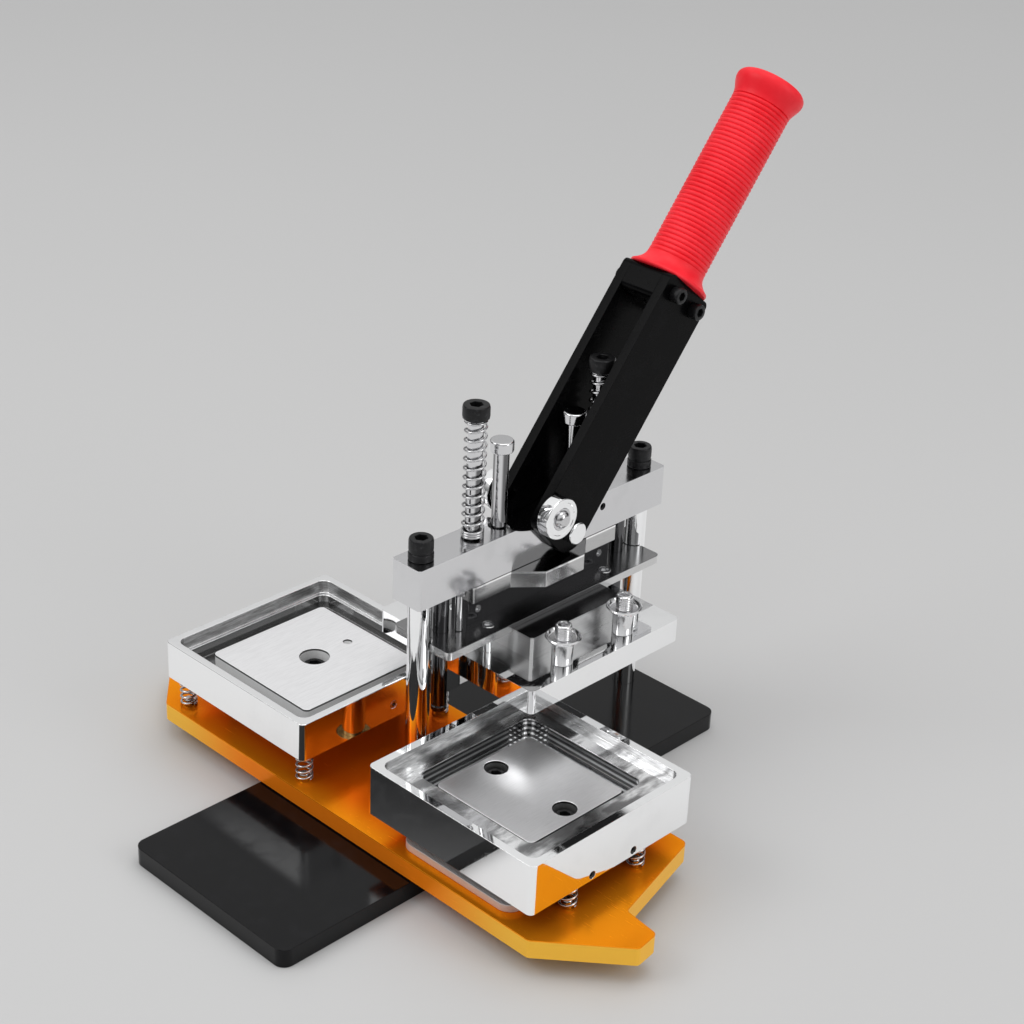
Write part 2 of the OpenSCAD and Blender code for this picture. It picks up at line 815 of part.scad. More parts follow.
module insert_b() chrome()
    at_die_b()
        difference() {
            translate([0, 0, insert_b_bottom])
                linear_extrude(insert_b_h)
                    rounded_rectangle(insert_b_side, insert_b_side, die_corner);
            for (side = [-1, 1])
                translate([side * insert_b_hole_spacing / 2, 0, insert_b_bottom - cut])
                    cylinder(d = insert_b_hole_d, h = insert_b_h + 2 * cut);
        }

module insert_b_screws() dark_steel()
    at_die_b()
        for (side = [-1, 1])
            translate([side * insert_b_hole_spacing / 2, 0,
                    insert_b_top - insert_pair_sunk - insert_pair_head_h])
                socket_screw(insert_pair_head_d, insert_pair_head_h, insert_pair_screw_d,
                    insert_b_top - insert_pair_sunk - insert_pair_head_h - plate_top + plate_thread_reach);

module spring_peg()
    translate([0, 0, plate_top - peg_root])
        bevelled_bar(peg_d, peg_root + peg_h, edge_bevel);

module spring_pegs_a() steel()
    at_die_a()
        at_four(die_side / 2 - spring_a_inset, die_side / 2 - spring_a_inset)
            spring_peg();

module spring_pegs_b() steel()
    at_die_b()
        at_four(spring_b_x, spring_b_y)
            spring_peg();

// A collar: a rim, a ledge below it, a deep opening and a web that slides on the core's pillar
module collar(bottom, height, ledge_depth, opening, web_top, pillar) {
    top = bottom + height;
    rim_inside = die_side - 2 * rim_width;
    difference() {
        translate([0, 0, bottom])
            linear_extrude(height)
                rounded_rectangle(die_side, die_side, die_corner);
        translate([0, 0, top - ledge_depth])
            linear_extrude(ledge_depth + cut)
                rounded_rectangle(rim_inside, rim_inside, rim_corner);
        translate([0, 0, web_top])
            linear_extrude(top - web_top)
                rounded_rectangle(opening, opening, rim_corner);
        translate([0, 0, bottom - cut])
            linear_extrude(height)
                rounded_rectangle(pillar + 2 * slide_gap, pillar + 2 * slide_gap, die_corner);
    }
}

module collar_a() chrome()
    at_die_a()
        difference() {
            collar(collar_a_bottom, collar_a_h, ledge_a_depth, die_side - 2 * rim_width - 2 * ledge_a_width,
                insert_a_bottom - slide_gap, pillar_a_side);
            translate([die_side / 2 - set_screw_h, set_screw_a_place, collar_a_top - set_screw_a_drop])
                along_x()
                    cylinder(d = set_screw_d + 2 * press_fit, h = set_screw_h + cut);
        }

module collar_a_set_screw() steel()
    at_die_a()
        translate([die_side / 2, set_screw_a_place, collar_a_top - set_screw_a_drop])
            along_x()
                set_screw(set_screw_d, set_screw_h);

module collar_b() chrome()
    at_die_b()
        difference() {
            collar(collar_b_bottom, collar_b_h, ledge_b_depth, opening_b_side,
                insert_b_bottom - slide_gap, pillar_b_side);
            for (side = [-1, 1])
                translate([die_side / 2 - set_screw_h - set_screw_sunk, side * set_screw_b_spacing / 2,
                        collar_b_bottom + set_screw_b_rise])
                    along_x()
                        cylinder(d = set_screw_d + 2 * press_fit, h = set_screw_h + set_screw_sunk + cut);
        }

module collar_b_set_screws() dark_steel()
    at_die_b()
        for (side = [-1, 1])
            translate([die_side / 2 - set_screw_sunk, side * set_screw_b_spacing / 2,
                    collar_b_bottom + set_screw_b_rise])
                along_x()
                    set_screw(set_screw_d, set_screw_h);

// Rings of a spring as [angle, height, lean of the wire]: straight end, bend, turns, bend, straight end
function spring_rings(height, radius, wire, turns) =
    let (
        bend = wire * bend_share,
        degrees = 180 / PI / radius,
        first = bend * degrees,
        low = wire + bend,
        steps = turns * turn_rings,
        last = first + turns * 360
    )
    concat(
        [[0, 0, 0], [0, wire, 0]],
        [for (k = [1:bend_steps]) let (b = 90 * k / bend_steps)
            [bend * (1 - cos(b)) * degrees, wire + bend * sin(b), b]],
        [for (i = [1:steps]) [first + i * 360 / turn_rings, low + (height - 2 * low) * i / steps, 90]],
        [for (k = [1:bend_steps]) let (b = 90 * k / bend_steps)
            [last + bend * sin(b) * degrees, height - low + bend * (1 - cos(b)), 90 - b]],
        [[last + first, height, 0]]
    );

function ring_centre(ring, radius) = [radius * cos(ring[0]), radius * sin(ring[0]), ring[1]];

// Least gap of a spring's wire to itself, between rings at least three quarters of a turn apart
function least_gap(rings, radius, wire) =
    let (centres = [for (ring = rings) ring_centre(ring, radius)], apart = turn_rings * 3 / 4)
    min([
        for (i = [0:len(centres) - 1 - apart], j = [i + apart:len(centres) - 1])
            norm(centres[i] - centres[j])
    ]) - wire;

// A spring of round wire that stands on Z zero, swept as one tube along its rings
module coil_spring(height, outer_d, wire, turns) {
    radius = (outer_d - wire) / 2;
    rings = spring_rings(height, radius, wire, turns);
    points = [
        for (ring = rings)
            let (
                out = [cos(ring[0]), sin(ring[0]), 0],
                round = [-sin(ring[0]), cos(ring[0]), 0],
                normal = [0, 0, sin(ring[2])] - cos(ring[2]) * round
            )
            for (k = [0:wire_sides - 1])
                ring_centre(ring, radius)
                    + wire / 2 * (cos(360 * k / wire_sides) * out + sin(360 * k / wire_sides) * normal)
    ];
    sides = [
        for (i = [0:len(rings) - 2], k = [0:wire_sides - 1])
            let (a = i * wire_sides + k, b = i * wire_sides + (k + 1) % wire_sides)
            each [[a, b, b + wire_sides], [a, b + wire_sides, a + wire_sides]]
    ];
    ends = [
        [for (k = [wire_sides - 1:-1:0]) k],
        [for (k = [0:wire_sides - 1]) (len(rings) - 1) * wire_sides + k]
    ];
    echo(least_gap = least_gap(rings, radius, wire));
    polyhedron(points, concat(sides, ends));
}

module springs_a() steel()
    at_die_a()
        at_four(die_side / 2 - spring_a_inset, die_side / 2 - spring_a_inset)
            translate([0, 0, plate_top])
                coil_spring(gap_a, die_spring_d, die_wire, die_a_turns);

module springs_b() steel()
    at_die_b()
        at_four(spring_b_x, spring_b_y)
            translate([0, 0, plate_top])
                coil_spring(gap_b, die_spring_d, die_wire, die_b_turns);

module near_return_spring() steel()
    translate([0, return_rod_ys[0], beam_top])
        coil_spring(return_rod_rise, return_spring_d, return_wire, return_turns);

module far_return_spring() steel()
    translate([0, return_rod_ys[1], beam_top])
        coil_spring(return_rod_rise, return_spring_d, return_wire, return_turns);

// The upper die presses with the rim round the hollow in its underside
module upper_die() chrome()
    at_press()
        difference() {
            translate([0, 0, upper_die_bottom])
                linear_extrude(upper_die_h)
                    rounded_rectangle(die_side, die_side, die_corner);
            translate([0, 0, upper_die_bottom - cut])
                linear_extrude(hollow_depth + cut)
                    rounded_rectangle(hollow_side, hollow_side, rim_corner);
            at_four(die_screw_spacing / 2, die_screw_spacing / 2) {
                translate([0, 0, upper_die_bottom])
                    cylinder(d = die_screw_d + 2 * press_fit, h = upper_die_h + cut);
                translate([0, 0, upper_die_bottom])
                    cylinder(d = die_screw_head_d, h = hollow_depth + die_screw_head_h);
            }
            at_four(die_bush_x, die_bush_y)
                translate([0, 0, upper_die_top - bush_screw_reach])
                    cylinder(d = bush_screw_d + 2 * press_fit, h = bush_screw_reach + cut);
            at_four(plate_screw_x, plate_screw_y)
                translate([0, 0, upper_die_top - plate_screw_reach])
                    cylinder(d = plate_screw_d + 2 * press_fit, h = plate_screw_reach + cut);
        }

module upper_die_screws() dark_steel()
    at_press()
        at_four(die_screw_spacing / 2, die_screw_spacing / 2)
            translate([0, 0, upper_die_bottom + hollow_depth + die_screw_head_h])
                mirror([0, 0, 1])
                    socket_screw(die_screw_head_d - 2 * running_fit, die_screw_head_h, die_screw_d,
                        upper_die_h - hollow_depth - die_screw_head_h + die_screw_reach);

module die_block() steel()
    at_press()
        difference() {
            translate([0, 0, upper_die_top])
                linear_extrude(block_h + channel_depth)
                    chamfered_rectangle(block_side, block_side, block_chamfer);
            translate([0, 0, guide_plate_bottom])
                linear_extrude(channel_depth + cut)
                    square([guide_plate_width + 2 * channel_gap, block_side + 2 * cut], center = true);
            at_four(die_screw_spacing / 2, die_screw_spacing / 2)
                translate([0, 0, upper_die_top - cut])
                    cylinder(d = die_screw_d + 2 * press_fit, h = die_screw_reach + cut);
        }

module die_bushes() chrome()
    at_press()
        at_four(die_bush_x, die_bush_y)
            translate([0, 0, upper_die_top])
                tube(die_bush_d, bush_screw_d + 2 * press_fit, die_bush_h);

module dished_washers() chrome()
    at_press()
        at_four(die_bush_x, die_bush_y)
            translate([0, 0, upper_die_top + die_bush_h])
                rotate_extrude() {
                    bore = bush_screw_d / 2 + press_fit;
                    rim = dished_washer_d / 2;
                    foot = rim * washer_flat_share;
                    polygon([
                        [bore, 0], [foot, 0], [rim, washer_dish], [rim, washer_dish + washer_h],
                        [foot, washer_h], [bore, washer_h]
                    ]);
                }

module die_bush_screws() steel()
    at_press()
        at_four(die_bush_x, die_bush_y)
            translate([0, 0, upper_die_top + die_bush_h + washer_h])
                socket_screw(bush_screw_head_d, bush_screw_head_h, bush_screw_d,
                    washer_h + die_bush_h + bush_screw_reach);

// The guide plate slides on the two guide rods, and its notched ends clear the columns
module guide_plate() chrome()
    at_press()
        difference() {
            translate([0, 0, guide_plate_bottom])
                linear_extrude(guide_plate_h)
                    difference() {
                        rounded_rectangle(guide_plate_width, column_spacing - 2 * guide_plate_overlap,
                            die_corner);
                        for (side = [-1, 1])
                            translate([0, side * press_centre])
                                circle(d = column_d + 2 * notch_clearance);
                    }
            for (y = guide_rod_ys)
                translate([0, y - press_centre, guide_plate_bottom - cut])
                    cylinder(d = rod_d + 2 * running_fit, h = guide_plate_h + 2 * cut);
            at_four(plate_screw_x, plate_screw_y) {
                translate([0, 0, guide_plate_bottom - cut])
                    cylinder(d = plate_screw_d + 2 * press_fit, h = guide_plate_h + 2 * cut);
                translate([0, 0, guide_plate_top - plate_screw_head_h])
                    cylinder(d = plate_screw_head_d + 2 * press_fit, h = plate_screw_head_h + cut);
            }
        }

module guide_plate_screws() steel()
    at_press()
        at_four(plate_screw_x, plate_screw_y)
            translate([0, 0, guide_plate_top - plate_screw_head_h])
                socket_screw(plate_screw_head_d, plate_screw_head_h, plate_screw_d,
                    guide_plate_top - plate_screw_head_h - upper_die_top + plate_screw_reach);

module standoffs() chrome()
    at_press()
        at_four(plate_screw_x, plate_screw_y)
            translate([0, 0, upper_die_top])
                tube(standoff_d, plate_screw_d + 2 * press_fit, block_h);

module ram_block() steel()
    difference() {
        translate([0, press_centre, guide_plate_top])
            linear_extrude(yoke_bottom - guide_plate_top)
                chamfered_rectangle(ram_block_width, ram_block_length, edge_bevel);
        for (y = concat(return_rod_ys, guide_pin_ys))
            translate([0, y, yoke_bottom - rod_reach])
                cylinder(d = rod_d + 2 * press_fit, h = rod_reach + cut);
        for (y = return_rod_ys)
            translate([rod_d / 2, y, guide_plate_top + ram_screw_rise])
                along_x()
                    cylinder(d = set_screw_d + 2 * press_fit, h = ram_block_width);
    }

module ram_set_screws() dark_steel()
    for (y = return_rod_ys)
        translate([ram_block_width / 2, y, guide_plate_top + ram_screw_rise])
            along_x()
                set_screw(set_screw_d, (ram_block_width - rod_d) / 2 - press_fit);

// The yoke lies under the beam, and the lever's rollers press on its two shoulders
module yoke() chrome()
    difference() {
        body = yoke_width / 2;
        full = yoke_full_width / 2;
        start = press_centre - ram_block_length / 2;
        straight = shoulder_start + shoulder_slant;
        right = [
            [body, start, edge_bevel],
            [body, shoulder_start, edge_bevel],
            [full, straight, edge_bevel],
            [full, straight + shoulder_length, yoke_corner],
            [body, straight + shoulder_length + shoulder_slant, edge_bevel],
            [body, start + ram_block_length, edge_bevel]
        ];
        corners = concat(right, [for (i = [len(right) - 1:-1:0]) [-right[i].x, right[i].y, right[i].z]]);
        translate([0, 0, yoke_bottom])
            linear_extrude(yoke_h)
                polygon(rounded_outline(corners));
        for (y = concat(return_rod_ys, guide_pin_ys))
            translate([0, y, yoke_bottom - cut])
                cylinder(d = rod_d + 2 * press_fit, h = yoke_h + 2 * cut);
    }

module return_rods() chrome()
    for (y = return_rod_ys)
        translate([0, y, 0]) {
            low = yoke_bottom - rod_reach;
            high = beam_top + return_rod_rise;
            translate([0, 0, low])
                cylinder(d = rod_d, h = high - low);
            translate([0, 0, high])
                cylinder(d = head_thread_d, h = head_thread_reach);
        }

module return_rod_heads() black_paint()
    for (y = return_rod_ys)
        translate([0, y, beam_top + return_rod_rise])
            difference() {
                socket_head(return_head_d, return_head_h);
                translate([0, 0, -cut])
                    cylinder(d = head_thread_d + 2 * press_fit, h = head_thread_reach + cut);
            }

module guide_pins() chrome()
    for (y = guide_pin_ys)
        translate([0, y, 0]) {
            low = yoke_bottom - rod_reach;
            high = beam_top + guide_pin_rise;
            translate([0, 0, low])
                cylinder(d = rod_d, h = high - low + guide_head_h / 2);
            translate([0, 0, high])
                bevelled_bar(guide_head_d, guide_head_h, edge_bevel);
        }

// Point where the fork's lower edge leaves the arc round a centre, on the side away from the lever
function heel_normal(first, first_r, second, second_r) =
    let (
        between = second - first,
        turn = atan2(between.y, between.x) + acos((first_r - second_r) / norm(between))
    )
    [cos(turn), sin(turn)];

// Outline of a fork plate in the lever's frame: an arc round the fulcrum, a heel and a straight shaft
module fork_outline() {
    fulcrum = [0, 0];
    heel = [fork_corner - fork_heel, fork_front - fork_corner];
    normal = heel_normal(fulcrum, fork_rear, heel, fork_corner);
    polygon([
        [0, -fork_rear], [fork_length - fork_top_r, -fork_rear], [fork_length, fork_top_r - fork_rear],
        [fork_length, fork_front - fork_top_r], [fork_length - fork_top_r, fork_front],
        [heel.x, fork_front], heel + fork_corner * normal, fulcrum + fork_rear * normal
    ]);
    circle(r = fork_rear);
    translate(heel)
        circle(r = fork_corner);
    for (y = [fork_top_r - fork_rear, fork_front - fork_top_r])
        translate([fork_length - fork_top_r, y])
            circle(r = fork_top_r);
}

// Places its children on the block screws' axes in the lever's frame
module at_block_screws()
    for (side = [-1, 1])
        translate([fork_length - lever_block_h / 2, axis_front + side * block_screw_spread, 0])
            children();

module fork_plate()
    difference() {
        translate([0, 0, fork_inner])
            linear_extrude(fork_thickness)
                fork_outline();
        translate([0, 0, fork_inner - cut])
            cylinder(d = fulcrum_d + 2 * running_fit, h = fork_thickness + 2 * cut);
        translate([roller_offset, roller_reach, fork_inner - cut])
            cylinder(d = roller_screw_d + 2 * press_fit, h = fork_thickness + 2 * cut);
        at_block_screws()
            translate([0, 0, fork_inner - cut])
                cylinder(d = block_screw_d + 2 * press_fit, h = fork_thickness + 2 * cut);
    }

module near_fork_plate() black_paint() at_lever() fork_plate();
module far_fork_plate() black_paint() at_lever() mirror([0, 0, 1]) fork_plate();

module lever_block() black_paint()
    at_lever()
        difference() {
            translate([fork_length - lever_block_h / 2, axis_front, -fork_inner])
                linear_extrude(fork_gap)
                    rounded_rectangle(lever_block_h, fork_front + fork_rear, fork_top_r);
            translate([0, axis_front, 0])
                along_x() {
                    translate([0, 0, fork_length - lever_block_h - cut])
                        cylinder(d = grip_screw_d + 2 * press_fit, h = lever_block_h + 2 * cut);
                    translate([0, 0, fork_length - lever_block_h - cut])
                        cylinder(d = grip_screw_head_d + 2 * press_fit, h = grip_screw_head_h + cut);
                }
            at_block_screws() {
                for (side = [0, 1])
                    mirror([0, 0, side])
                        translate([0, 0, fork_inner - block_screw_reach])
                            cylinder(d = block_screw_d + 2 * press_fit, h = block_screw_reach + cut);
            }
        }

module lever_block_screws() dark_steel()
    at_lever()
        at_block_screws()
            for (side = [0, 1])
                mirror([0, 0, side])
                    translate([0, 0, fork_outer])
                        socket_screw(block_screw_head_d, block_screw_head_h, block_screw_d,
                            fork_thickness + block_screw_reach);

module grip_screw() dark_steel()
    at_lever()
        translate([fork_length - lever_block_h + grip_screw_head_h, axis_front, 0])
            rotate([0, -90, 0])
                socket_screw(grip_screw_head_d, grip_screw_head_h, grip_screw_d,
                    lever_block_h - grip_screw_head_h + grip_screw_reach);

module grip_rod() steel()
    at_lever()
        translate([fork_length, axis_front, 0])
            along_x()
                difference() {
                    bevelled_bar(grip_rod_d, grip_bore_depth, edge_bevel);
                    translate([0, 0, -cut])
                        cylinder(d = grip_screw_d + 2 * press_fit, h = grip_screw_reach + cut);
                }

// Half outline of the grip: flange, flare, ribs, flare and rounded knob
module grip() color([0.93, 0.06, 0.08])
    at_lever()
        translate([fork_length, axis_front, 0])
            along_x()
                rotate_extrude() {
                    core = grip_d / 2;
                    flange = grip_flange_d / 2;
                    knob = grip_knob_d / 2;
                    flare_end = grip_length * grip_flare_share;
                    flange_end = grip_length * grip_flange_share;
                    knob_start = grip_length * grip_knob_flare_share;
                    knob_full = grip_length * grip_knob_share;
                    pitch = (knob_start - flare_end) / grip_ribs;
                    bore = grip_rod_d / 2 + press_fit;
                    polygon(concat(
                        [[bore, 0], [flange - edge_bevel, 0], [flange, edge_bevel], [flange, flange_end]],
                        [for (k = [1:flare_steps]) let (t = k / flare_steps)
                            [core + (flange - core) * (1 - sin(90 * t)),
                                flange_end + (flare_end - flange_end) * t]],
                        [for (k = [0:grip_ribs - 1]) each [
                            [core + grip_rib, flare_end + pitch * (k + rib_rise_share)],
                            [core + grip_rib, flare_end + pitch * (k + 1 - rib_rise_share)],
                            [core, flare_end + pitch * (k + 1)]
                        ]],
                        [for (k = [1:flare_steps]) let (t = k / flare_steps)
                            [core + (knob - core) * (1 - cos(90 * t)),
                                knob_start + (knob_full - knob_start) * t]],
                        [
                            [knob, grip_length * grip_round_share],
                            [knob * grip_end_share, grip_length], [0, grip_length],
                            [0, grip_bore_depth + press_fit], [bore, grip_bore_depth + press_fit]
                        ]
                    ));
                }

// The still middle of a roller's bearing, with the spacer that holds it off the fork
module bearing_core() {
    bore = roller_shoulder_d / 2 + press_fit;
    translate([0, 0, fork_outer])
        rotate_extrude()
            polygon([
                [bore, 0], [spacer_d / 2, 0], [spacer_d / 2, spacer_h],
                [bearing_core_d / 2, spacer_h],
                [bearing_core_d / 2, spacer_h + roller_width - bearing_shield_sunk],
                [bearing_inner_d / 2, spacer_h + roller_width - bearing_shield_sunk],
                [bearing_inner_d / 2, spacer_h + roller_width], [bore, spacer_h + roller_width]
            ]);
}

// The turning ring of a roller's bearing
module roller_ring() {
    bore = bearing_core_d / 2 + slide_gap;
    rim = roller_d / 2;
    translate([0, 0, roller_inner])
        rotate_extrude()
            polygon([
                [bore, 0], [rim - edge_bevel, 0], [rim, edge_bevel],
                [rim, roller_width - edge_bevel], [rim - edge_bevel, roller_width], [bore, roller_width]
            ]);
}

module near_bearing_core() steel() at_roller() bearing_core();
module far_bearing_core() steel() at_roller() mirror([0, 0, 1]) bearing_core();
module near_roller() chrome() at_roller() roller_ring();
module far_roller() chrome() at_roller() mirror([0, 0, 1]) roller_ring();

module roller_screws() steel()
    at_roller()
        for (side = [0, 1])
            mirror([0, 0, side]) {
                translate([0, 0, roller_outer])
                    socket_head(roller_screw_head_d, roller_screw_head_h);
                translate([0, 0, fork_outer])
                    cylinder(d = roller_shoulder_d, h = roller_outer - fork_outer + roller_screw_head_h / 4);
                translate([0, 0, fork_inner + roller_screw_end_gap])
                    cylinder(d = roller_screw_d, h = fork_thickness);
            }

base_plate();
near_column();
far_column();
thrust_washer();
beam();
beam_bushes();
beam_set_screw();
column_collars();
column_cap_screws();
near_guide_rod();
far_guide_rod();
stop_screw();
fulcrum_pin();
fulcrum_clip();
die_plate();
pivot_bush();
core_a();
insert_a();
insert_a_screw();
core_b();
insert_b();
insert_b_screws();
spring_pegs_a();
spring_pegs_b();
collar_a();
collar_a_set_screw();
springs_a();
collar_b();
collar_b_set_screws();
springs_b();
upper_die();
upper_die_screws();
die_block();
die_bushes();
dished_washers();
die_bush_screws();
guide_plate();
guide_plate_screws();
standoffs();
ram_block();
ram_set_screws();
yoke();
return_rods();
return_rod_heads();
guide_pins();
near_return_spring();
far_return_spring();
near_fork_plate();
far_fork_plate();
lever_block();
lever_block_screws();
grip_screw();
grip_rod();
grip();
near_bearing_core();
far_bearing_core();
roller_screws();
near_roller();
far_roller();
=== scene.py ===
"""Looks of a hand press for square fridge magnets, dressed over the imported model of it.

Everything is in metres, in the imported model's frame: X along the die plate, Y along the base plate and Z up.
"""

import json
import logging
import math
from collections.abc import Mapping, Sequence
from dataclasses import dataclass
from enum import Enum

import bpy
import numpy as np
from mathutils import Matrix


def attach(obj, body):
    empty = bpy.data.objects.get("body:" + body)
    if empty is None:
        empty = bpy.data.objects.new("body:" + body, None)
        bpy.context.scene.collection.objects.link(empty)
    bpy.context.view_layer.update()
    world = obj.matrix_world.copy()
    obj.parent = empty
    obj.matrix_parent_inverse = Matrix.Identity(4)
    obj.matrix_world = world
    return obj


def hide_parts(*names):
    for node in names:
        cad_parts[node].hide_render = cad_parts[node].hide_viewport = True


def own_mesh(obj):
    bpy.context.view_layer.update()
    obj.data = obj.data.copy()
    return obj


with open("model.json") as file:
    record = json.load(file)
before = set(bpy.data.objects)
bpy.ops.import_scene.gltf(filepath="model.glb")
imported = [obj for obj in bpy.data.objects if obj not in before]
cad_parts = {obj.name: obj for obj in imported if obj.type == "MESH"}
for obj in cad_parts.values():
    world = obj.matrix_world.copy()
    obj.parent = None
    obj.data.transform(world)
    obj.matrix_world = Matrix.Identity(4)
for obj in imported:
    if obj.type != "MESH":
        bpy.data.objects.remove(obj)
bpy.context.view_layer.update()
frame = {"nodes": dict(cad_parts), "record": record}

log = logging.getLogger("magnet_press")

Colour = tuple[float, float, float]
Point = tuple[float, float, float]
Pair = tuple[float, float]
Inputs = dict[str | int, object]

# The radius at which a turned end is closed, and how far a shank runs into its head
CENTRE = 0.0002
OVERLAP = 0.0002


class Body(Enum):
    """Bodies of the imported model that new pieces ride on."""

    FRAME = "frame"
    TABLE = "die_table"
    RAM = "ram"
    LEVER = "lever"
    NEAR_WHEEL = "near_wheel"
    FAR_WHEEL = "far_wheel"


def linked(name: str, data: bpy.types.ID) -> bpy.types.Object:
    """Makes an object of the given data and links it to the scene.

    Args:
        name: The object's name.
        data: The mesh, lamp or camera data that it holds.

    Returns:
        The new object.
    """
    thing = bpy.data.objects.new(name, data)
    bpy.context.scene.collection.objects.link(thing)
    return thing


# Shapes


@dataclass
class Shape:
    """Points and faces of a surface, before it becomes a mesh."""

    points: np.ndarray
    faces: list[list[int]]

    @staticmethod
    def joined(shapes: Sequence["Shape"]) -> "Shape":
        """One shape that holds all the given ones.

        Args:
            shapes: The shapes to join.

        Returns:
            The joined shape.
        """
        starts = np.cumsum([0] + [len(s.points) for s in shapes])
        faces = [[i + int(a) for i in f] for s, a in zip(shapes, starts) for f in s.faces]
        return Shape(np.concatenate([s.points for s in shapes]), faces)

    def placed(self, matrix: np.ndarray) -> "Shape":
        """The shape moved by a 4 by 4 matrix that holds no mirror."""
        return Shape(self.points @ matrix[:3, :3].T + matrix[:3, 3], self.faces)

    def lifted(self, place: Point) -> "Shape":
        """The shape shifted by a vector."""
        return Shape(self.points + np.array(place), self.faces)

    def at_corners(self, middle: Point, reach: Pair) -> "Shape":
        """Four copies of the shape, at the corners of a level rectangle.

        Args:
            middle: The rectangle's middle.
            reach: Its half length along X and along Y.

        Returns:
            The copies as one shape.
        """
        x, y, z = middle
        places = [(x + sx * reach[0], y + sy * reach[1], z) for sx in (-1, 1) for sy in (-1, 1)]
        return Shape.joined([self.lifted(p) for p in places])

    def piece(self, name: str, sharp_degrees: float = 35.0) -> bpy.types.Object:
        """Makes the mesh object, smooth apart from its sharp edges.

        Args:
            name: The object's name.
            sharp_degrees: The angle between faces from which an edge stays sharp.

        Returns:
            The new object, linked to the scene.
        """
        mesh = bpy.data.meshes.new(name)
        mesh.from_pydata(self.points.tolist(), [], self.faces)
        mesh.validate()
        mesh.shade_smooth()
        mesh.set_sharp_from_angle(angle=math.radians(sharp_degrees))
        return linked(name, mesh)


def ring_surface(rings: np.ndarray) -> Shape:
    """Skins a stack of rings: point j of ring i is joined to its neighbours in the ring and in the next ring.

    Args:
        rings: Ring by ring, the points round each ring, as an array of n by m by 3.

    Returns:
        The skin, closed at both ends, with faces outward where the rings run anticlockwise.
    """
    count, around = rings.shape[:2]
    i, j = np.meshgrid(np.arange(count - 1), np.arange(around), indexing="ij")
    a = i * around + j
    b = i * around + (j + 1) % around
    quads = np.stack([a, b, b + around, a + around], axis=-1).reshape(-1, 4)
    ends = [list(range(around - 1, -1, -1)), list(range((count - 1) * around, count * around))]
    return Shape(rings.reshape(-1, 3), quads.tolist() + ends)


def turned(profile: Sequence[tuple[float | np.ndarray, float]], sides: int = 96) -> Shape:
    """A turned shape: each radius and height of the profile becomes a ring of that radius at that height.

    Args:
        profile: The half outline from the lowest ring round to the last. A radius may vary round its ring.
        sides: The points round each ring.

    Returns:
        The turned shape, closed at both ends.
    """
    turn = np.linspace(0, 2 * np.pi, sides, endpoint=False)
    rings = [np.stack([r * np.cos(turn), r * np.sin(turn), z + 0 * turn], axis=-1) for r, z in profile]
    return ring_surface(np.stack(rings))


def rounding(radius: float, height: float, size: float, steps: int) -> list[Pair]:
    """The points of a quarter circle, without the first, from the end of an outline's side to its top."""
    bend = np.linspace(0, np.pi / 2, steps)[1:]
    return [(radius - size * (1 - math.cos(b)), height + size * math.sin(b)) for b in bend]


def axis_matrix(place: Point, along: Point, out: Point) -> np.ndarray:
    """The move that takes Z to a given axis, X to the direction next to it, and the origin to a place.

    Args:
        place: Where the origin goes.
        along: Where Z goes, as a unit vector.
        out: Where X goes, as a unit vector square to the axis.

    Returns:
        The 4 by 4 matrix.
    """
    matrix = np.eye(4)
    matrix[:3, 0] = out
    matrix[:3, 1] = np.cross(along, out)
    matrix[:3, 2] = along
    matrix[:3, 3] = place
    return matrix


@dataclass(frozen=True)
class SocketHead:
    """A knurled cylinder head with a hexagon socket, standing on Z zero."""

    diameter: float
    height: float
    hexagon: float
    knurls: int = 60
    knurl_depth: float = 0.00012
    edge: float = 0.0006
    sides: int = 240
    foot_inset: float = 0.6
    foot_rise: float = 0.4
    foot_share: float = 0.12
    socket_share: float = 0.45
    crown_share: float = 1.6
    shoulder_share: float = 1.2
    rim_share: float = 0.35
    floor_share: float = 0.96
    end_share: float = 0.05
    tip_share: float = 0.12

    def shape(self) -> Shape:
        """Rings up the knurled side, over the edge and down the socket; the side's radius ripples.

        Returns:
            The head as one closed skin.
        """
        turn = np.linspace(0, 2 * np.pi, self.sides, endpoint=False)
        radius = self.diameter / 2
        ripple = self.knurl_depth * (0.5 + 0.5 * np.cos(self.knurls * turn))
        sixth = np.pi / 3
        hexagon = self.hexagon / 2 / np.cos((turn + sixth / 2) % sixth - sixth / 2)
        crown = self.crown_share * self.edge
        low, high = self.foot_share * self.height, self.height - crown
        bottom = self.height - self.socket_share * self.height
        rim = self.edge * self.rim_share
        plain = radius - self.knurl_depth
        shoulder = radius - self.knurl_depth * self.shoulder_share
        bend = np.linspace(0, np.pi / 2, 6)[1:]
        outline: list[tuple[float | np.ndarray, float]] = [
            (radius - self.edge * self.foot_inset, 0.0),
            (plain, self.edge * self.foot_rise),
            (plain, low),
            (radius - ripple, low + self.edge * 0.5),
            (radius - ripple, high - self.edge * 0.5),
            (shoulder, high),
            *((shoulder - self.edge * (1 - math.cos(b)), high + crown * math.sin(b)) for b in bend),
            (hexagon + rim, self.height),
            (hexagon, self.height - rim),
            (hexagon, bottom),
            (hexagon * self.floor_share, bottom),
            (hexagon * self.end_share, bottom - self.hexagon * self.tip_share),
        ]
        return turned(outline, self.sides)


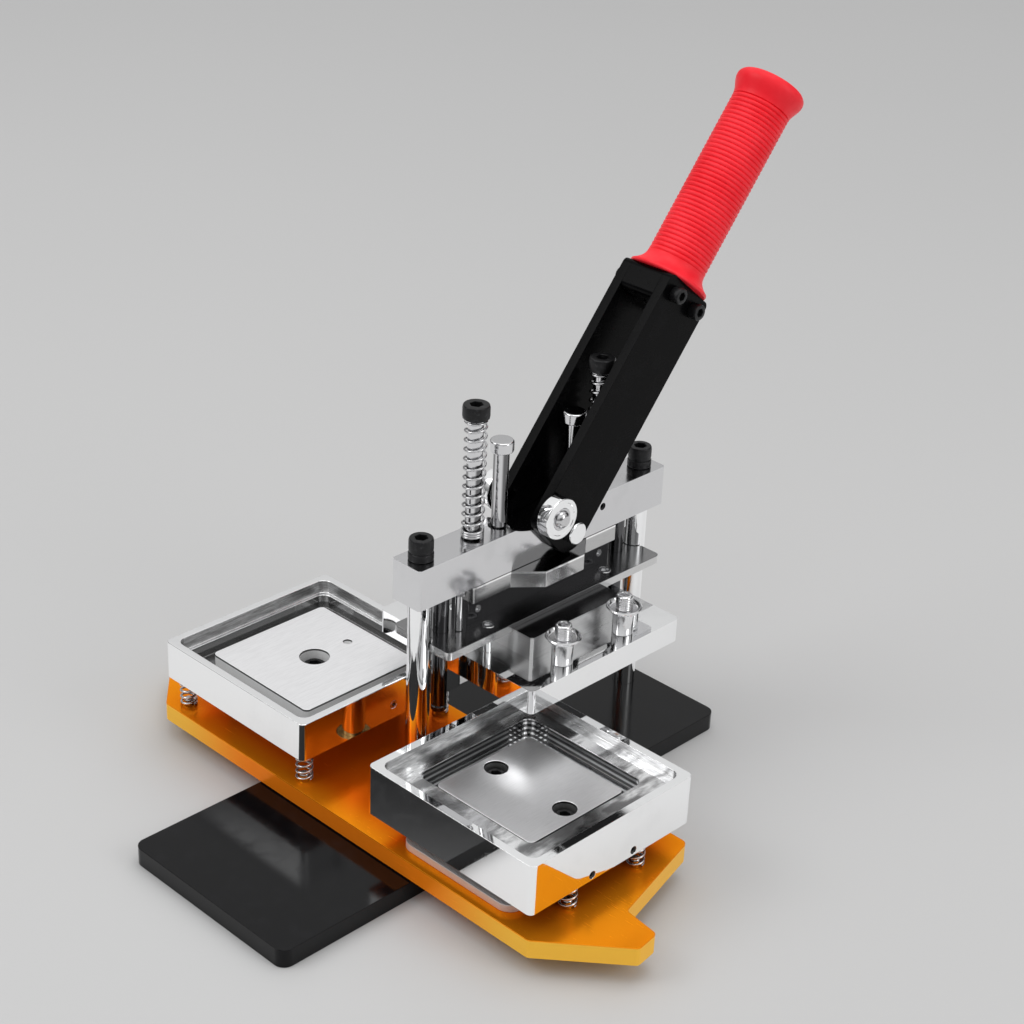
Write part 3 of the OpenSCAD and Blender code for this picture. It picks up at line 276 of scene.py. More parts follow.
@dataclass(frozen=True)
class Coil:
    """A wound spring of round wire that stands on Z zero, with closed turns at its foot and at its top."""

    height: float
    outer: float
    wire: float
    turns: float
    foot: float = 0.8
    top: float = 0.8
    steps: int = 28
    sides: int = 12
    packing: float = 1.04
    blend: float = 0.35

    def shape(self) -> Shape:
        """A circle carried along a helix that rises by the wire's width in the closed turns.

        Returns:
            The wire as one closed tube.
        """
        radius = (self.outer - self.wire) / 2
        total = self.turns + self.foot + self.top
        turn = np.linspace(0, total, int(total * self.steps) + 1)
        flat = self.wire * self.packing
        rise = (self.height - self.wire - (self.foot + self.top) * flat) / self.turns
        low = np.clip((turn - self.foot) / self.blend + 0.5, 0, 1)
        high = np.clip((total - self.top - turn) / self.blend + 0.5, 0, 1)
        share = (low * low * (3 - 2 * low)) * (high * high * (3 - 2 * high))
        slope = flat + (rise - flat) * share
        step = np.diff(turn)
        climb = np.concatenate([[0], np.cumsum((slope[1:] + slope[:-1]) / 2 * step)])
        climb = climb * (self.height - self.wire) / climb[-1] + self.wire / 2
        angle = 2 * np.pi * turn
        out = np.stack([np.cos(angle), np.sin(angle), 0 * angle], axis=-1)
        centre = radius * out + np.stack([0 * angle, 0 * angle, climb], axis=-1)
        along = np.gradient(centre, axis=0)
        along /= np.linalg.norm(along, axis=1, keepdims=True)
        side = np.cross(along, out)
        around = np.linspace(0, 2 * np.pi, self.sides, endpoint=False)
        rings = centre[:, None] + self.wire / 2 * (
            np.cos(around)[None, :, None] * out[:, None] - np.sin(around)[None, :, None] * side[:, None]
        )
        return ring_surface(rings[:, ::-1])


# Shader maths


class Value:
    """A socket that plain arithmetic works on: each operator adds its Math node."""

    def __init__(self, tree: "Tree", socket: bpy.types.NodeSocket) -> None:
        """Keeps the tree and the socket."""
        self.tree = tree
        self.socket = socket

    def _math(self, operation: str, *values: "Value | float") -> "Value":
        """The output of a Math node with these inputs in order."""
        return self.tree.add("ShaderNodeMath", {"operation": operation}, dict(enumerate(values)))

    def __add__(self, other: "Value | float") -> "Value":
        """Sum."""
        return self._math("ADD", self, other)

    __radd__ = __add__

    def __sub__(self, other: "Value | float") -> "Value":
        """Difference."""
        return self._math("SUBTRACT", self, other)

    def __rsub__(self, other: float) -> "Value":
        """Difference from a number."""
        return self._math("SUBTRACT", other, self)

    def __mul__(self, other: "Value | float") -> "Value":
        """Product."""
        return self._math("MULTIPLY", self, other)

    __rmul__ = __mul__

    def __truediv__(self, other: "Value | float") -> "Value":
        """Quotient."""
        return self._math("DIVIDE", self, other)

    def __rtruediv__(self, other: float) -> "Value":
        """Quotient of a number by this."""
        return self._math("DIVIDE", other, self)

    def __abs__(self) -> "Value":
        """Size without sign."""
        return self._math("ABSOLUTE", self)

    def smooth(self, low: float, high: float) -> "Value":
        """A smooth step from 0 at low to 1 at high."""
        settings = {"interpolation_type": "SMOOTHSTEP"}
        return self.tree.add("ShaderNodeMapRange", settings, {0: self, 1: low, 2: high, 3: 0.0, 4: 1.0})


class Tree:
    """A node tree that is built by plain calls."""

    def __init__(self, nodes: bpy.types.NodeTree) -> None:
        """Empties the tree and keeps it."""
        self.nodes = nodes
        nodes.nodes.clear()

    def add(
        self,
        kind: str,
        settings: Mapping[str, object] | None = None,
        inputs: Mapping[str | int, object] | None = None,
        output: str | int = 0,
    ) -> Value:
        """Adds a node, sets it up and feeds its sockets.

        Args:
            kind: The node's type.
            settings: Its settings, which are set before the sockets.
            inputs: Socket names or numbers, with a value or a link for each.
            output: The output that is handed back.

        Returns:
            The wanted output.
        """
        node = self.nodes.nodes.new(kind)
        for name, value in (settings or {}).items():
            setattr(node, name, value)
        for name, value in (inputs or {}).items():
            socket = node.inputs[name]
            if isinstance(value, Value):
                self.nodes.links.new(value.socket, socket)
            elif socket.type == "RGBA":
                socket.default_value = (*value, 1.0)
            else:
                socket.default_value = value
        return Value(self, node.outputs[output] if len(node.outputs) else node)

    def place(self, stretch: Point = (1.0, 1.0, 1.0)) -> Value:
        """The object's own coordinates in metres, stretched per axis."""
        here = self.add("ShaderNodeTexCoord", output="Object")
        return self.add("ShaderNodeMapping", {}, {"Vector": here, "Scale": stretch})

    def axes(self, *wanted: int) -> tuple[Value, ...]:
        """The wanted axes of the object's own coordinates, each as a value."""
        return tuple(self.add("ShaderNodeSeparateXYZ", {}, {0: self.place()}, output=i) for i in wanted)

    def noise(
        self, scale: float, detail: float = 3.0, rough: float = 0.55, stretch: Point = (1.0, 1.0, 1.0)
    ) -> Value:
        """A cloud pattern from 0 to 1, with scale repeats per metre and detail octaves."""
        inputs = {"Vector": self.place(stretch), "Scale": scale, "Detail": detail, "Roughness": rough}
        return self.add("ShaderNodeTexNoise", {}, inputs)

    def mix(self, share: "Value | float", first: object, second: object) -> Value:
        """A mix of two colours that holds this share of the second."""
        return self.add("ShaderNodeMix", {"data_type": "RGBA"}, {0: share, 6: first, 7: second}, output=2)

    def bump(
        self, height: Value, distance: float, strength: float = 1.0, under: Value | None = None
    ) -> Value:
        """A normal that is tilted by a height.

        Args:
            height: The height, from 0 to 1.
            distance: The depth in metres that 1 stands for.
            strength: The effect's share.
            under: A normal from an earlier bump.

        Returns:
            The tilted normal.
        """
        inputs: Inputs = {"Height": height, "Distance": distance, "Strength": strength}
        if under is not None:
            inputs["Normal"] = under
        return self.add("ShaderNodeBump", {}, inputs)


# Finishes


@dataclass(frozen=True)
class Finish:
    """What all the finishes share: a name, and a way to become a material."""

    name: str

    def material(self) -> bpy.types.Material:
        """The finish's material, made once.

        Returns:
            The material.
        """
        label = f"{self.name}_look"
        made = bpy.data.materials.get(label)
        if made is None:
            made = bpy.data.materials.new(label)
            made.use_nodes = True
            tree = Tree(made.node_tree)
            surface = tree.add("ShaderNodeBsdfPrincipled", {}, self.surface(tree))
            tree.add("ShaderNodeOutputMaterial", {}, {"Surface": surface})
        return made

    def surface(self, tree: Tree) -> Inputs:
        """The inputs of the finish's shader.

        Args:
            tree: The material's nodes, which the patterns are added to.

        Returns:
            A value or a link for each input that differs from the shader's own.
        """
        raise NotImplementedError


@dataclass(frozen=True)
class MirrorPlate(Finish):
    """Bright polished plating: faint smears, hairline scratches and a very slight wave in its reflections."""

    colour: Colour = (0.86, 0.865, 0.87)
    roughness: float = 0.03
    smear: float = 0.06
    wave: float = 0.00006

    def surface(self, tree: Tree) -> Inputs:
        """Smears raise the roughness, and two bumps carry the wave and the hairlines.

        Args:
            tree: The material's nodes.

        Returns:
            The inputs of its shader.
        """
        smears = tree.noise(34.0, 4.0, 0.6).smooth(0.52, 0.72)
        lines = tree.noise(2600.0, 2.0, stretch=(1.0, 0.06, 0.35)).smooth(0.60, 0.74)
        wave = tree.noise(16.0, 1.0, 0.4)
        rough = self.roughness + smears * self.smear + lines * 0.03
        tint = tree.mix(smears * 0.6, self.colour, tuple(c * 0.93 for c in self.colour))
        normal = tree.bump(lines, 0.000004, 0.6, tree.bump(wave, self.wave))
        return {"Base Color": tint, "Metallic": 1.0, "Roughness": rough, "Normal": normal}


@dataclass(frozen=True)
class ReflectionStreakedRod(MirrorPlate):
    """A polished rod with painted dark reflections along it, at both sides of its lit middle.

    Each painted reflection is the shares of the radius where it begins and where it is full.
    """

    radius: float = 0.004
    head: float = 0.1832
    reflection_dark: Colour = (0.08, 0.08, 0.082)
    right_reflection: Pair = (0.74, 0.93)
    left_reflection: Pair = (0.12, -0.32)
    fade: float = 0.0003

    def surface(self, tree: Tree) -> Inputs:
        """The painted dark reflections follow the place across the rod, below the height where its head
        begins.

        Args:
            tree: The material's nodes.

        Returns:
            The inputs of its shader.
        """
        made = super().surface(tree)
        x, z = tree.axes(0, 2)
        across = x / self.radius
        streaks = across.smooth(*self.right_reflection) + across.smooth(*self.left_reflection)
        below = (self.head - z).smooth(0.0, self.fade)
        # Painted reflection: dark bands along both sides of the rod.
        made["Base Color"] = tree.mix(streaks * below * 0.9, made["Base Color"], self.reflection_dark)
        return made


@dataclass(frozen=True)
class GroundSteel(Finish):
    """Steel ground along one axis."""

    colour: Colour = (0.50, 0.50, 0.51)
    roughness: float = 0.20
    grain: Point = (0.03, 1.0, 1.0)
    lines: float = 3200.0
    metal: float = 1.0

    def surface(self, tree: Tree) -> Inputs:
        """Grinding lines in roughness, colour and bump, with broad clouds over them.

        Args:
            tree: The material's nodes.

        Returns:
            The inputs of its shader.
        """
        grain = tree.noise(self.lines, 3.0, 0.7, stretch=self.grain)
        clouds = tree.noise(60.0)
        rough = self.roughness + (grain - 0.5) * 0.14 + (clouds - 0.5) * 0.08
        tint = tree.mix(grain.smooth(0.3, 0.7), tuple(c * 0.86 for c in self.colour), self.colour)
        return {
            "Base Color": tint,
            "Metallic": self.metal,
            "Roughness": rough,
            "Normal": tree.bump(grain, 0.00001, 0.5),
        }


@dataclass(frozen=True)
class FacedSteel(Finish):
    """Machined steel whose top face and sides take separate tones as painted light and shade, with a painted
    band at the arris between them: a highlight line where it is bright, a shadow line where it is dark.

    Both pairs are depths below the top: where the next tone begins and where it is full.
    """

    top: float
    face: Colour
    face_roughness: float
    side: Colour
    side_roughness: float = 0.14
    painted_edge_band: Colour = (0.10,) * 3
    grain: Point = (1.0, 0.05, 1.0)
    side_metal: float = 1.0
    painted_band_start: Pair = (0.00012, 0.00032)
    painted_band_end: Pair = (0.0010, 0.0014)

    def surface(self, tree: Tree) -> Inputs:
        """The side's share is 1 below the top's height and 0 above; fine grain and clouds lie over both.

        Args:
            tree: The material's nodes.

        Returns:
            The inputs of its shader.
        """
        (height,) = tree.axes(2)
        below = (self.top - height).smooth(*self.painted_band_start)
        deep = (self.top - height).smooth(*self.painted_band_end)
        grain = tree.noise(2200.0, 3.0, 0.65, stretch=self.grain)
        clouds = tree.noise(48.0)
        # Painted light and shade: the top, the arris band and the sides each take their own tone.
        tint = tree.mix(below, self.face, tree.mix(deep, self.painted_edge_band, self.side))
        tint = tree.mix(grain.smooth(0.35, 0.75) * 0.10, tint, (0.0, 0.0, 0.0))
        rough = self.face_roughness + below * (self.side_roughness - self.face_roughness)
        return {
            "Base Color": tint,
            "Metallic": 1.0 + below * (self.side_metal - 1.0),
            "Roughness": rough + (grain - 0.5) * 0.12 + (clouds - 0.5) * 0.10,
            "Normal": tree.bump(grain, 0.000008, 0.5),
        }


@dataclass(frozen=True)
class CollarPlate(MirrorPlate):
    """A die collar's plating: mirror outside, with milled, duller walls inside its rim.

    The milling keeps clear of the floor by the gap and of the top by the rim. Below the floor a painted shade
    darkens the groove, and painted dark reflections lie in patches on the ledge.
    """

    centre: float = 0.0
    reach: float = 0.0512
    floor: float = 0.0
    top: float = 0.0
    wall: Colour = (0.80, 0.80, 0.805)
    # Colour of the painted shade in the groove and of the painted dark reflections on the ledge.
    groove: Colour = (0.14, 0.14, 0.142)
    pitch: float = 0.0
    ledge_reflection_dark: float = 0.0
    lip: float = 0.0001
    gap: float = 0.0001
    rim: float = 0.0003
    fade: float = 0.0002
    groove_fade: float = 0.0011
    milled_roughness: float = 0.28
    groove_roughness: float = 0.16
    ledge_roughness: float = 0.12

    def surface(self, tree: Tree) -> Inputs:
        """Inside the rim the plating gives way to streaky milling, a ledge with painted dark reflections in
        patches, and a groove darkened by painted shade.

        Args:
            tree: The material's nodes.

        Returns:
            The inputs of its shader.
        """
        made = super().surface(tree)
        x, y, z = tree.axes(0, 1, 2)
        across, along = self.reach - abs(x - self.centre), self.reach - abs(y)
        inside = across.smooth(0.0, self.fade) * along.smooth(0.0, self.fade)
        rise, depth = z - self.floor, self.floor - z
        milled = inside * rise.smooth(self.gap, self.gap + self.fade)
        milled = milled * (self.top - z).smooth(self.rim, self.rim + self.fade)
        smears = tree.noise(70.0, 4.0, 0.6, stretch=(1.0, 0.35, 1.0)).smooth(0.42, 0.60)
        ledge = inside * (depth + self.rim).smooth(0.0, self.gap) * rise.smooth(-self.fade, -self.gap)
        # Painted shade below the ledge, in stepped dark lines where a pitch is given.
        groove = inside * depth.smooth(self.lip, self.lip + self.groove_fade)
        if self.pitch:
            wave = tree.add("ShaderNodeMath", {"operation": "SINE"}, {0: depth * (2 * math.pi / self.pitch)})
            groove = groove * wave.smooth(-0.5, 0.1)
        streaks = tree.noise(1500.0, 3.0, 0.7, stretch=(0.08, 0.08, 1.0))
        dull = tree.mix(streaks.smooth(0.3, 0.7), tuple(c * 0.5 for c in self.wall), self.wall)
        tint = tree.mix(milled, made["Base Color"], dull)
        # Painted dark reflections: patches on the ledge take the groove's dark colour.
        tint = tree.mix(ledge * smears * self.ledge_reflection_dark, tint, self.groove)
        made["Base Color"] = tree.mix(groove, tint, self.groove)
        rough = made["Roughness"] + milled * self.milled_roughness + groove * self.groove_roughness
        made["Roughness"] = rough + ledge * (smears + 0.6) * self.ledge_roughness
        return made


@dataclass(frozen=True)
class Anodised(Finish):
    """Aluminium with a fine brushed grain along X under an orange anodised skin.

    A painted shadow darkens the dye over the field under and between the dies, whose half size is given, and a
    fade is where a change begins and ends. The side faces get a painted highlight, paler towards the plate's
    ends.
    """

    colour: Colour = (1.0, 0.37, 0.014)
    deep: Colour = (0.92, 0.24, 0.005)
    shade: Colour = (0.80, 0.10, 0.001)
    edge: Colour = (1.0, 0.52, 0.08)
    flank_highlight: Colour = (1.0, 0.58, 0.075)
    inner_flank: Colour = (1.0, 0.24, 0.010)
    die_shadow_reach: Pair = (0.130, 0.050)
    die_shadow_fades: tuple[Pair, Pair] = ((-0.012, 0.012), (-0.010, 0.014))
    flank_highlight_fade: Pair = (0.060, 0.130)
    top: float = 0.0208
    top_fade: Pair = (-0.0006, -0.0002)
    side_fade: Pair = (0.0002, 0.0008)
    roughness: float = 0.24

    def surface(self, tree: Tree) -> Inputs:
        """The grain shows in roughness and bump, and clouds shift the dye; a painted shadow darkens it under
        and between the dies, and a painted highlight lightens the side faces towards the ends.

        Args:
            tree: The material's nodes.

        Returns:
            The inputs of its shader.
        """
        grain = tree.noise(2400.0, 3.0, 0.7, stretch=(0.03, 1.0, 1.0))
        clouds = tree.noise(22.0)
        x, y, z = tree.axes(0, 1, 2)
        # Painted shadow: the dye turns darker and redder under and between the dies.
        across, along = self.die_shadow_reach[0] - abs(x), self.die_shadow_reach[1] - abs(y)
        die_shadow = across.smooth(*self.die_shadow_fades[0]) * along.smooth(*self.die_shadow_fades[1])
        die_shadow = die_shadow * (z - self.top).smooth(*self.top_fade)
        tint = tree.mix(grain * 0.5 + clouds * 0.45, self.deep, self.colour)
        tint = tree.mix(die_shadow * 0.85, tint, self.shade)
        # Painted highlight: the side faces turn paler towards the plate's ends and stay deep orange in the
        # middle.
        flank_highlight = tree.mix(abs(x).smooth(*self.flank_highlight_fade), self.inner_flank, self.flank_highlight)
        below = (self.top - z).smooth(*self.side_fade)
        tint = tree.mix(below * 0.9, tint, flank_highlight)
        rough = self.roughness + (grain - 0.5) * 0.16 + (clouds - 0.5) * 0.06
        return {
            "Base Color": tint,
            "Metallic": 0.65 - below * 0.45,
            "Specular Tint": self.edge,
            "Specular IOR Level": 0.1,
            "Roughness": rough,
            "Normal": tree.bump(grain, 0.000016, 0.5),
        }


@dataclass(frozen=True)
class Enamel(Finish):
    """Black paint, dusted and lightly scuffed."""

    colour: Colour = (0.0025, 0.0025, 0.003)
    dust: Colour = (0.006, 0.006, 0.007)
    roughness: float = 0.12
    gloss: float = 0.16
    peel: float = 0.00001

    def surface(self, tree: Tree) -> Inputs:
        """Dust lightens the colour, scuffs raise the roughness, and a fine peel bumps the skin.

        Args:
            tree: The material's nodes.

        Returns:
            The inputs of its shader.
        """
        dust = tree.noise(90.0, 5.0, 0.65).smooth(0.45, 0.8)
        scuffs = tree.noise(420.0, 3.0, stretch=(1.0, 0.2, 1.0)).smooth(0.55, 0.75)
        peel = tree.noise(1100.0, 2.0)
        return {
            "Base Color": tree.mix(dust, self.colour, self.dust),
            "Roughness": self.roughness + dust * 0.10 + scuffs * 0.05,
            "Specular IOR Level": self.gloss,
            "Normal": tree.bump(peel, self.peel, 0.5),
        }


@dataclass(frozen=True)
class BlackOxide(Finish):
    """Oiled black oxide on steel screws, worn a little greyer in places."""

    colour: Colour = (0.014, 0.014, 0.015)
    worn: Colour = (0.055, 0.055, 0.058)
    roughness: float = 0.28

    def surface(self, tree: Tree) -> Inputs:
        """Wear shows in the colour, and fine grain in the roughness.

        Args:
            tree: The material's nodes.

        Returns:
            The inputs of its shader.
        """
        wear = tree.noise(420.0, 4.0, 0.65).smooth(0.5, 0.85)
        grain = tree.noise(2400.0, 2.0)
        return {
            "Base Color": tree.mix(wear, self.colour, self.worn),
            "Metallic": 0.5,
            "Roughness": self.roughness + grain * 0.14 - wear * 0.06,
            "Specular IOR Level": 0.35,
            "Normal": tree.bump(grain, 0.00002, 0.4),
        }


@dataclass(frozen=True)
class Rubber(Finish):
    """Soft red rubber with a fine skin."""

    colour: Colour = (1.0, 0.030, 0.046)
    deep: Colour = (0.90, 0.012, 0.024)
    roughness: float = 0.45

    def surface(self, tree: Tree) -> Inputs:
        """Clouds shift the red a little, and a fine grain breaks the sheen.

        Args:
            tree: The material's nodes.

        Returns:
            The inputs of its shader.
        """
        clouds = tree.noise(55.0)
        grain = tree.noise(2600.0, 3.0, 0.65)
        return {
            "Base Color": tree.mix(clouds.smooth(0.3, 0.7), self.deep, self.colour),
            "Roughness": self.roughness + (grain - 0.5) * 0.16 + (clouds - 0.5) * 0.10,
            "Specular IOR Level": 0.25,
            "Normal": tree.bump(grain, 0.00005, 0.35),
        }


@dataclass(frozen=True)
class FloorPaint(Finish):
    """The pale floor: faintly cloudy to the eye, and paler where metal mirrors it."""

    grey: float = 0.53
    drift: float = 0.03
    mirrored: float = 0.76

    def surface(self, tree: Tree) -> Inputs:
        """Clouds shift the grey, and a glossy ray meets the paler one.

        Args:
            tree: The material's nodes.

        Returns:
            The inputs of its shader.
        """
        cloud = tree.noise(0.8, 2.0)
        seen = tree.mix(cloud, (self.grey * (1 - self.drift),) * 3, (self.grey * (1 + self.drift),) * 3)
        glossy = tree.add("ShaderNodeLightPath", output="Is Glossy Ray")
        return {"Base Color": tree.mix(glossy, seen, (self.mirrored,) * 3), "Roughness": 0.7}


# Return rods and guide pins, with painted dark reflections down their sides.
ROD_MIRROR = ReflectionStreakedRod("painted_reflection_rod_plating", (0.62, 0.62, 0.63), 0.08, 0.05, 0.00003)
BUSH_STEEL = GroundSteel("polished_bush_steel", (0.74, 0.74, 0.75), 0.15, (1.0, 1.0, 0.05), 1500.0)
CORE_STEEL = GroundSteel("satin_core_steel", (0.66, 0.66, 0.665), 0.46, (1.0,) * 3, 1500.0, 0.35)
DARK_ROD = GroundSteel("darkened_rod_steel", (0.10, 0.10, 0.104), 0.12, (1.0, 1.0, 0.05), 1600.0)

FINISH_OF_SLOT: dict[str, Finish] = {
    "black_enamel": Enamel("base_black_enamel"),
    "black_lever": Enamel(
        "lever_black_enamel", colour=(0.0012, 0.0012, 0.0014), dust=(0.003, 0.003, 0.0034),
        roughness=0.24, gloss=0.05, peel=0.00002,
    ),
    "mirror_chrome": MirrorPlate("mirror_plating"),
    "plain_steel": GroundSteel("bright_ground_steel", (0.60, 0.60, 0.61), 0.16),
    "satin_steel": GroundSteel("satin_steel", (0.74, 0.74, 0.75), 0.40, (1.0,) * 3, 1500.0),
    "dark_ground_steel": GroundSteel("dark_ground_steel", (0.36, 0.36, 0.365), 0.28),
    "spring_steel": GroundSteel("drawn_spring_wire", (0.62, 0.62, 0.63), 0.20, (1.0, 1.0, 0.2), 1800.0),
    "black_oxide": BlackOxide("black_oxide"),
    "dark_rod": DARK_ROD,
    "orange_anodised": Anodised("orange_anodised"),
    "bearing_brass": GroundSteel("turned_bronze", (0.40, 0.21, 0.06), 0.24, (1.0, 1.0, 0.05), 1600.0),
    "red_rubber": Rubber("red_rubber"),
}

FINISH_OF_NODE: dict[str, Finish] = {
    "beam": MirrorPlate("polished_plate", (0.62, 0.62, 0.63), 0.12, 0.08, 0.00005),
    # Painted light: a darker top for the dark that it mirrors, and a bright arris band as a painted highlight
    # line.
    "yoke": FacedSteel(
        "yoke_face", top=0.1202, face=(0.34,) * 3, face_roughness=0.10,
        side=(0.50,) * 3, painted_edge_band=(0.95,) * 3,
    ),
    "collar_a": CollarPlate(
        "first_collar_plating", centre=-0.079, floor=0.0515, top=0.0588, groove=(0.30,) * 3, lip=0.0034
    ),
    "collar_b": CollarPlate(
        "second_collar_plating", centre=0.079, floor=0.0556, top=0.0602, pitch=0.0030, ledge_reflection_dark=0.85
    ),
    "core_a": CORE_STEEL,
    "core_b": CORE_STEEL,
    # Painted shadow: a dark band just under the insert's top edge.
    "insert_a": FacedSteel(
        "first_face", top=0.052, face=(0.95, 0.95, 0.96), face_roughness=0.42,
        side=(0.95,) * 3, side_roughness=0.42, side_metal=0.1,
    ),
    # Painted shadow band under the top edge, and sides painted darker as shade.
    "insert_b": FacedSteel(
        "second_face", top=0.050, face=(0.86, 0.86, 0.87), face_roughness=0.32,
        side=(0.70,) * 3, side_roughness=0.38,
    ),
    # Top face darker than the sides; the arris band takes the sides' tone.
    "guide_plate": FacedSteel(
        "guide_face", top=0.0972, face=(0.27, 0.27, 0.273), face_roughness=0.18,
        side=(0.62,) * 3, painted_edge_band=(0.62,) * 3,
    ),
    # Painted reflection: a dark top for the black lever that it mirrors, with a pale arris band as a painted
    # highlight.
    "die_block": FacedSteel(
        "block_face", top=0.0947, face=(0.10, 0.10, 0.103), face_roughness=0.22,
        side=(0.66,) * 3, side_roughness=0.30, painted_edge_band=(0.55,) * 3, grain=(0.06, 0.06, 1.0),
    ),
    "ram_block": DARK_ROD,
    "return_rods": ROD_MIRROR,
    "guide_pins": ROD_MIRROR,
    **dict.fromkeys(("die_bushes", "dished_washers", "die_bush_screws"), BUSH_STEEL),
}

BEVEL_OF_NODE: dict[str, float] = {
    **dict.fromkeys(("base_plate", "beam", "yoke", "upper_die", "lever_block"), 0.0006),
    **dict.fromkeys(("near_fork_plate", "far_fork_plate"), 0.0006),
    **dict.fromkeys(("die_plate", "guide_plate", "collar_a", "collar_b"), 0.0005),
    "die_block": 0.0004,
}


# Pieces


def finish_of(node: str, slot: str) -> Finish:
    """The node's own finish, or else its slot's."""
    return FINISH_OF_NODE.get(node, FINISH_OF_SLOT[slot])


def add_piece(
    shape: Shape, name: str, body: Body, slot: str, nodes: Sequence[str], sharp_degrees: float = 35.0
) -> bpy.types.Object:
    """Makes a piece, finishes it, and says what it rides on and which nodes it stands for.

    Args:
        shape: Its surface.
        name: Its name.
        body: The body it rides on.
        slot: The record's material slot.
        nodes: The nodes that it replaces.
        sharp_degrees: The angle from which an edge stays sharp.

    Returns:
        The piece.
    """
    piece = shape.piece(name, sharp_degrees)
    piece.data.materials.append(finish_of(nodes[0], slot).material())
    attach(piece, body.value)
    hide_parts(*nodes)
    log.info("%s: %d faces on %s", name, len(piece.data.polygons), body.value)
    return piece


@dataclass
class MetalNodes:
    """The machined pieces that stay as they are: they get their finish and a small bevel on every edge."""

    bevel: float = 0.0003
    weld: float = 0.000002
    flat_degrees: float = 0.6
    sharp_degrees: float = 28.0

    def dress(self) -> None:
        """Gives every shown node its material and its edges."""
        slots = {part["node"]: part["material_slot"] for part in frame["record"]["subparts"]}
        for name, node in frame["nodes"].items():
            if node.hide_render:
                continue
            node.data.materials.clear()
            finish = finish_of(name, slots[name])
            node.data.materials.append(finish.material())
            self._edges(node, BEVEL_OF_NODE.get(name, self.bevel))
            log.info("%s: %s", name, finish.name)

    def _edges(self, node: bpy.types.Object, width: float) -> None:
        """Joins the node's loose triangles, clears the flats of them and bevels what is sharp.

        Args:
            node: The node's object.
            width: The bevel's width.
        """
        node.data.shade_smooth()
        weld = node.modifiers.new("weld", "WELD")
        weld.merge_threshold = self.weld
        flats = node.modifiers.new("flats", "DECIMATE")
        flats.decimate_type = "DISSOLVE"
        flats.angle_limit = math.radians(self.flat_degrees)
        edges = node.modifiers.new("edges", "BEVEL")
        edges.width = width
        edges.segments = 2
        edges.limit_method = "ANGLE"
        edges.angle_limit = math.radians(self.sharp_degrees)
        edges.miter_outer = "MITER_ARC"
        normals = node.modifiers.new("normals", "WEIGHTED_NORMAL")
        normals.keep_sharp = True


@dataclass
class Springs:
    """The wound springs: one over each return rod, and four under each die's collar.

    A row of die_sets holds the node, the joint that shortens it, a spring, the die's middle along X,
    and the springs' reach from it.
    """

    return_places: Sequence[tuple[str, float]] = (
        ("near_return_spring", 0.0345),
        ("far_return_spring", 0.1235),
    )
    return_coil: Coil = Coil(0.0645, 0.0118, 0.0012, 11.6, foot=3.0, top=1.2)
    beam_top: float = 0.1425
    ram_travel: float = 0.0084
    plate_top: float = 0.0208
    collar_travel: float = 0.0075
    die_sets: Sequence[tuple[str, str, Coil, float, Pair]] = (
        ("springs_a", "first_collar_slide", Coil(0.0166, 0.0092, 0.0013, 3.6), -0.079, (0.047, 0.047)),
        ("springs_b", "second_collar_slide", Coil(0.0124, 0.0092, 0.0013, 2.4), 0.079, (0.049, 0.0235)),
    )

    def build(self) -> None:
        """Builds all the springs: two on the frame over the return rods, and four at each die on the table."""
        for name, place in self.return_places:
            shape = self.return_coil.shape().lifted((0.0, place, self.beam_top))
            piece = add_piece(shape, f"{name}_wire", Body.FRAME, "spring_steel", (name,))
            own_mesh(piece)
        for node, joint, coil, centre, reach in self.die_sets:
            shape = coil.shape().at_corners((centre, 0.0, self.plate_top), reach)
            piece = add_piece(shape, f"{node}_wire", Body.TABLE, "spring_steel", (node,))
            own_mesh(piece)


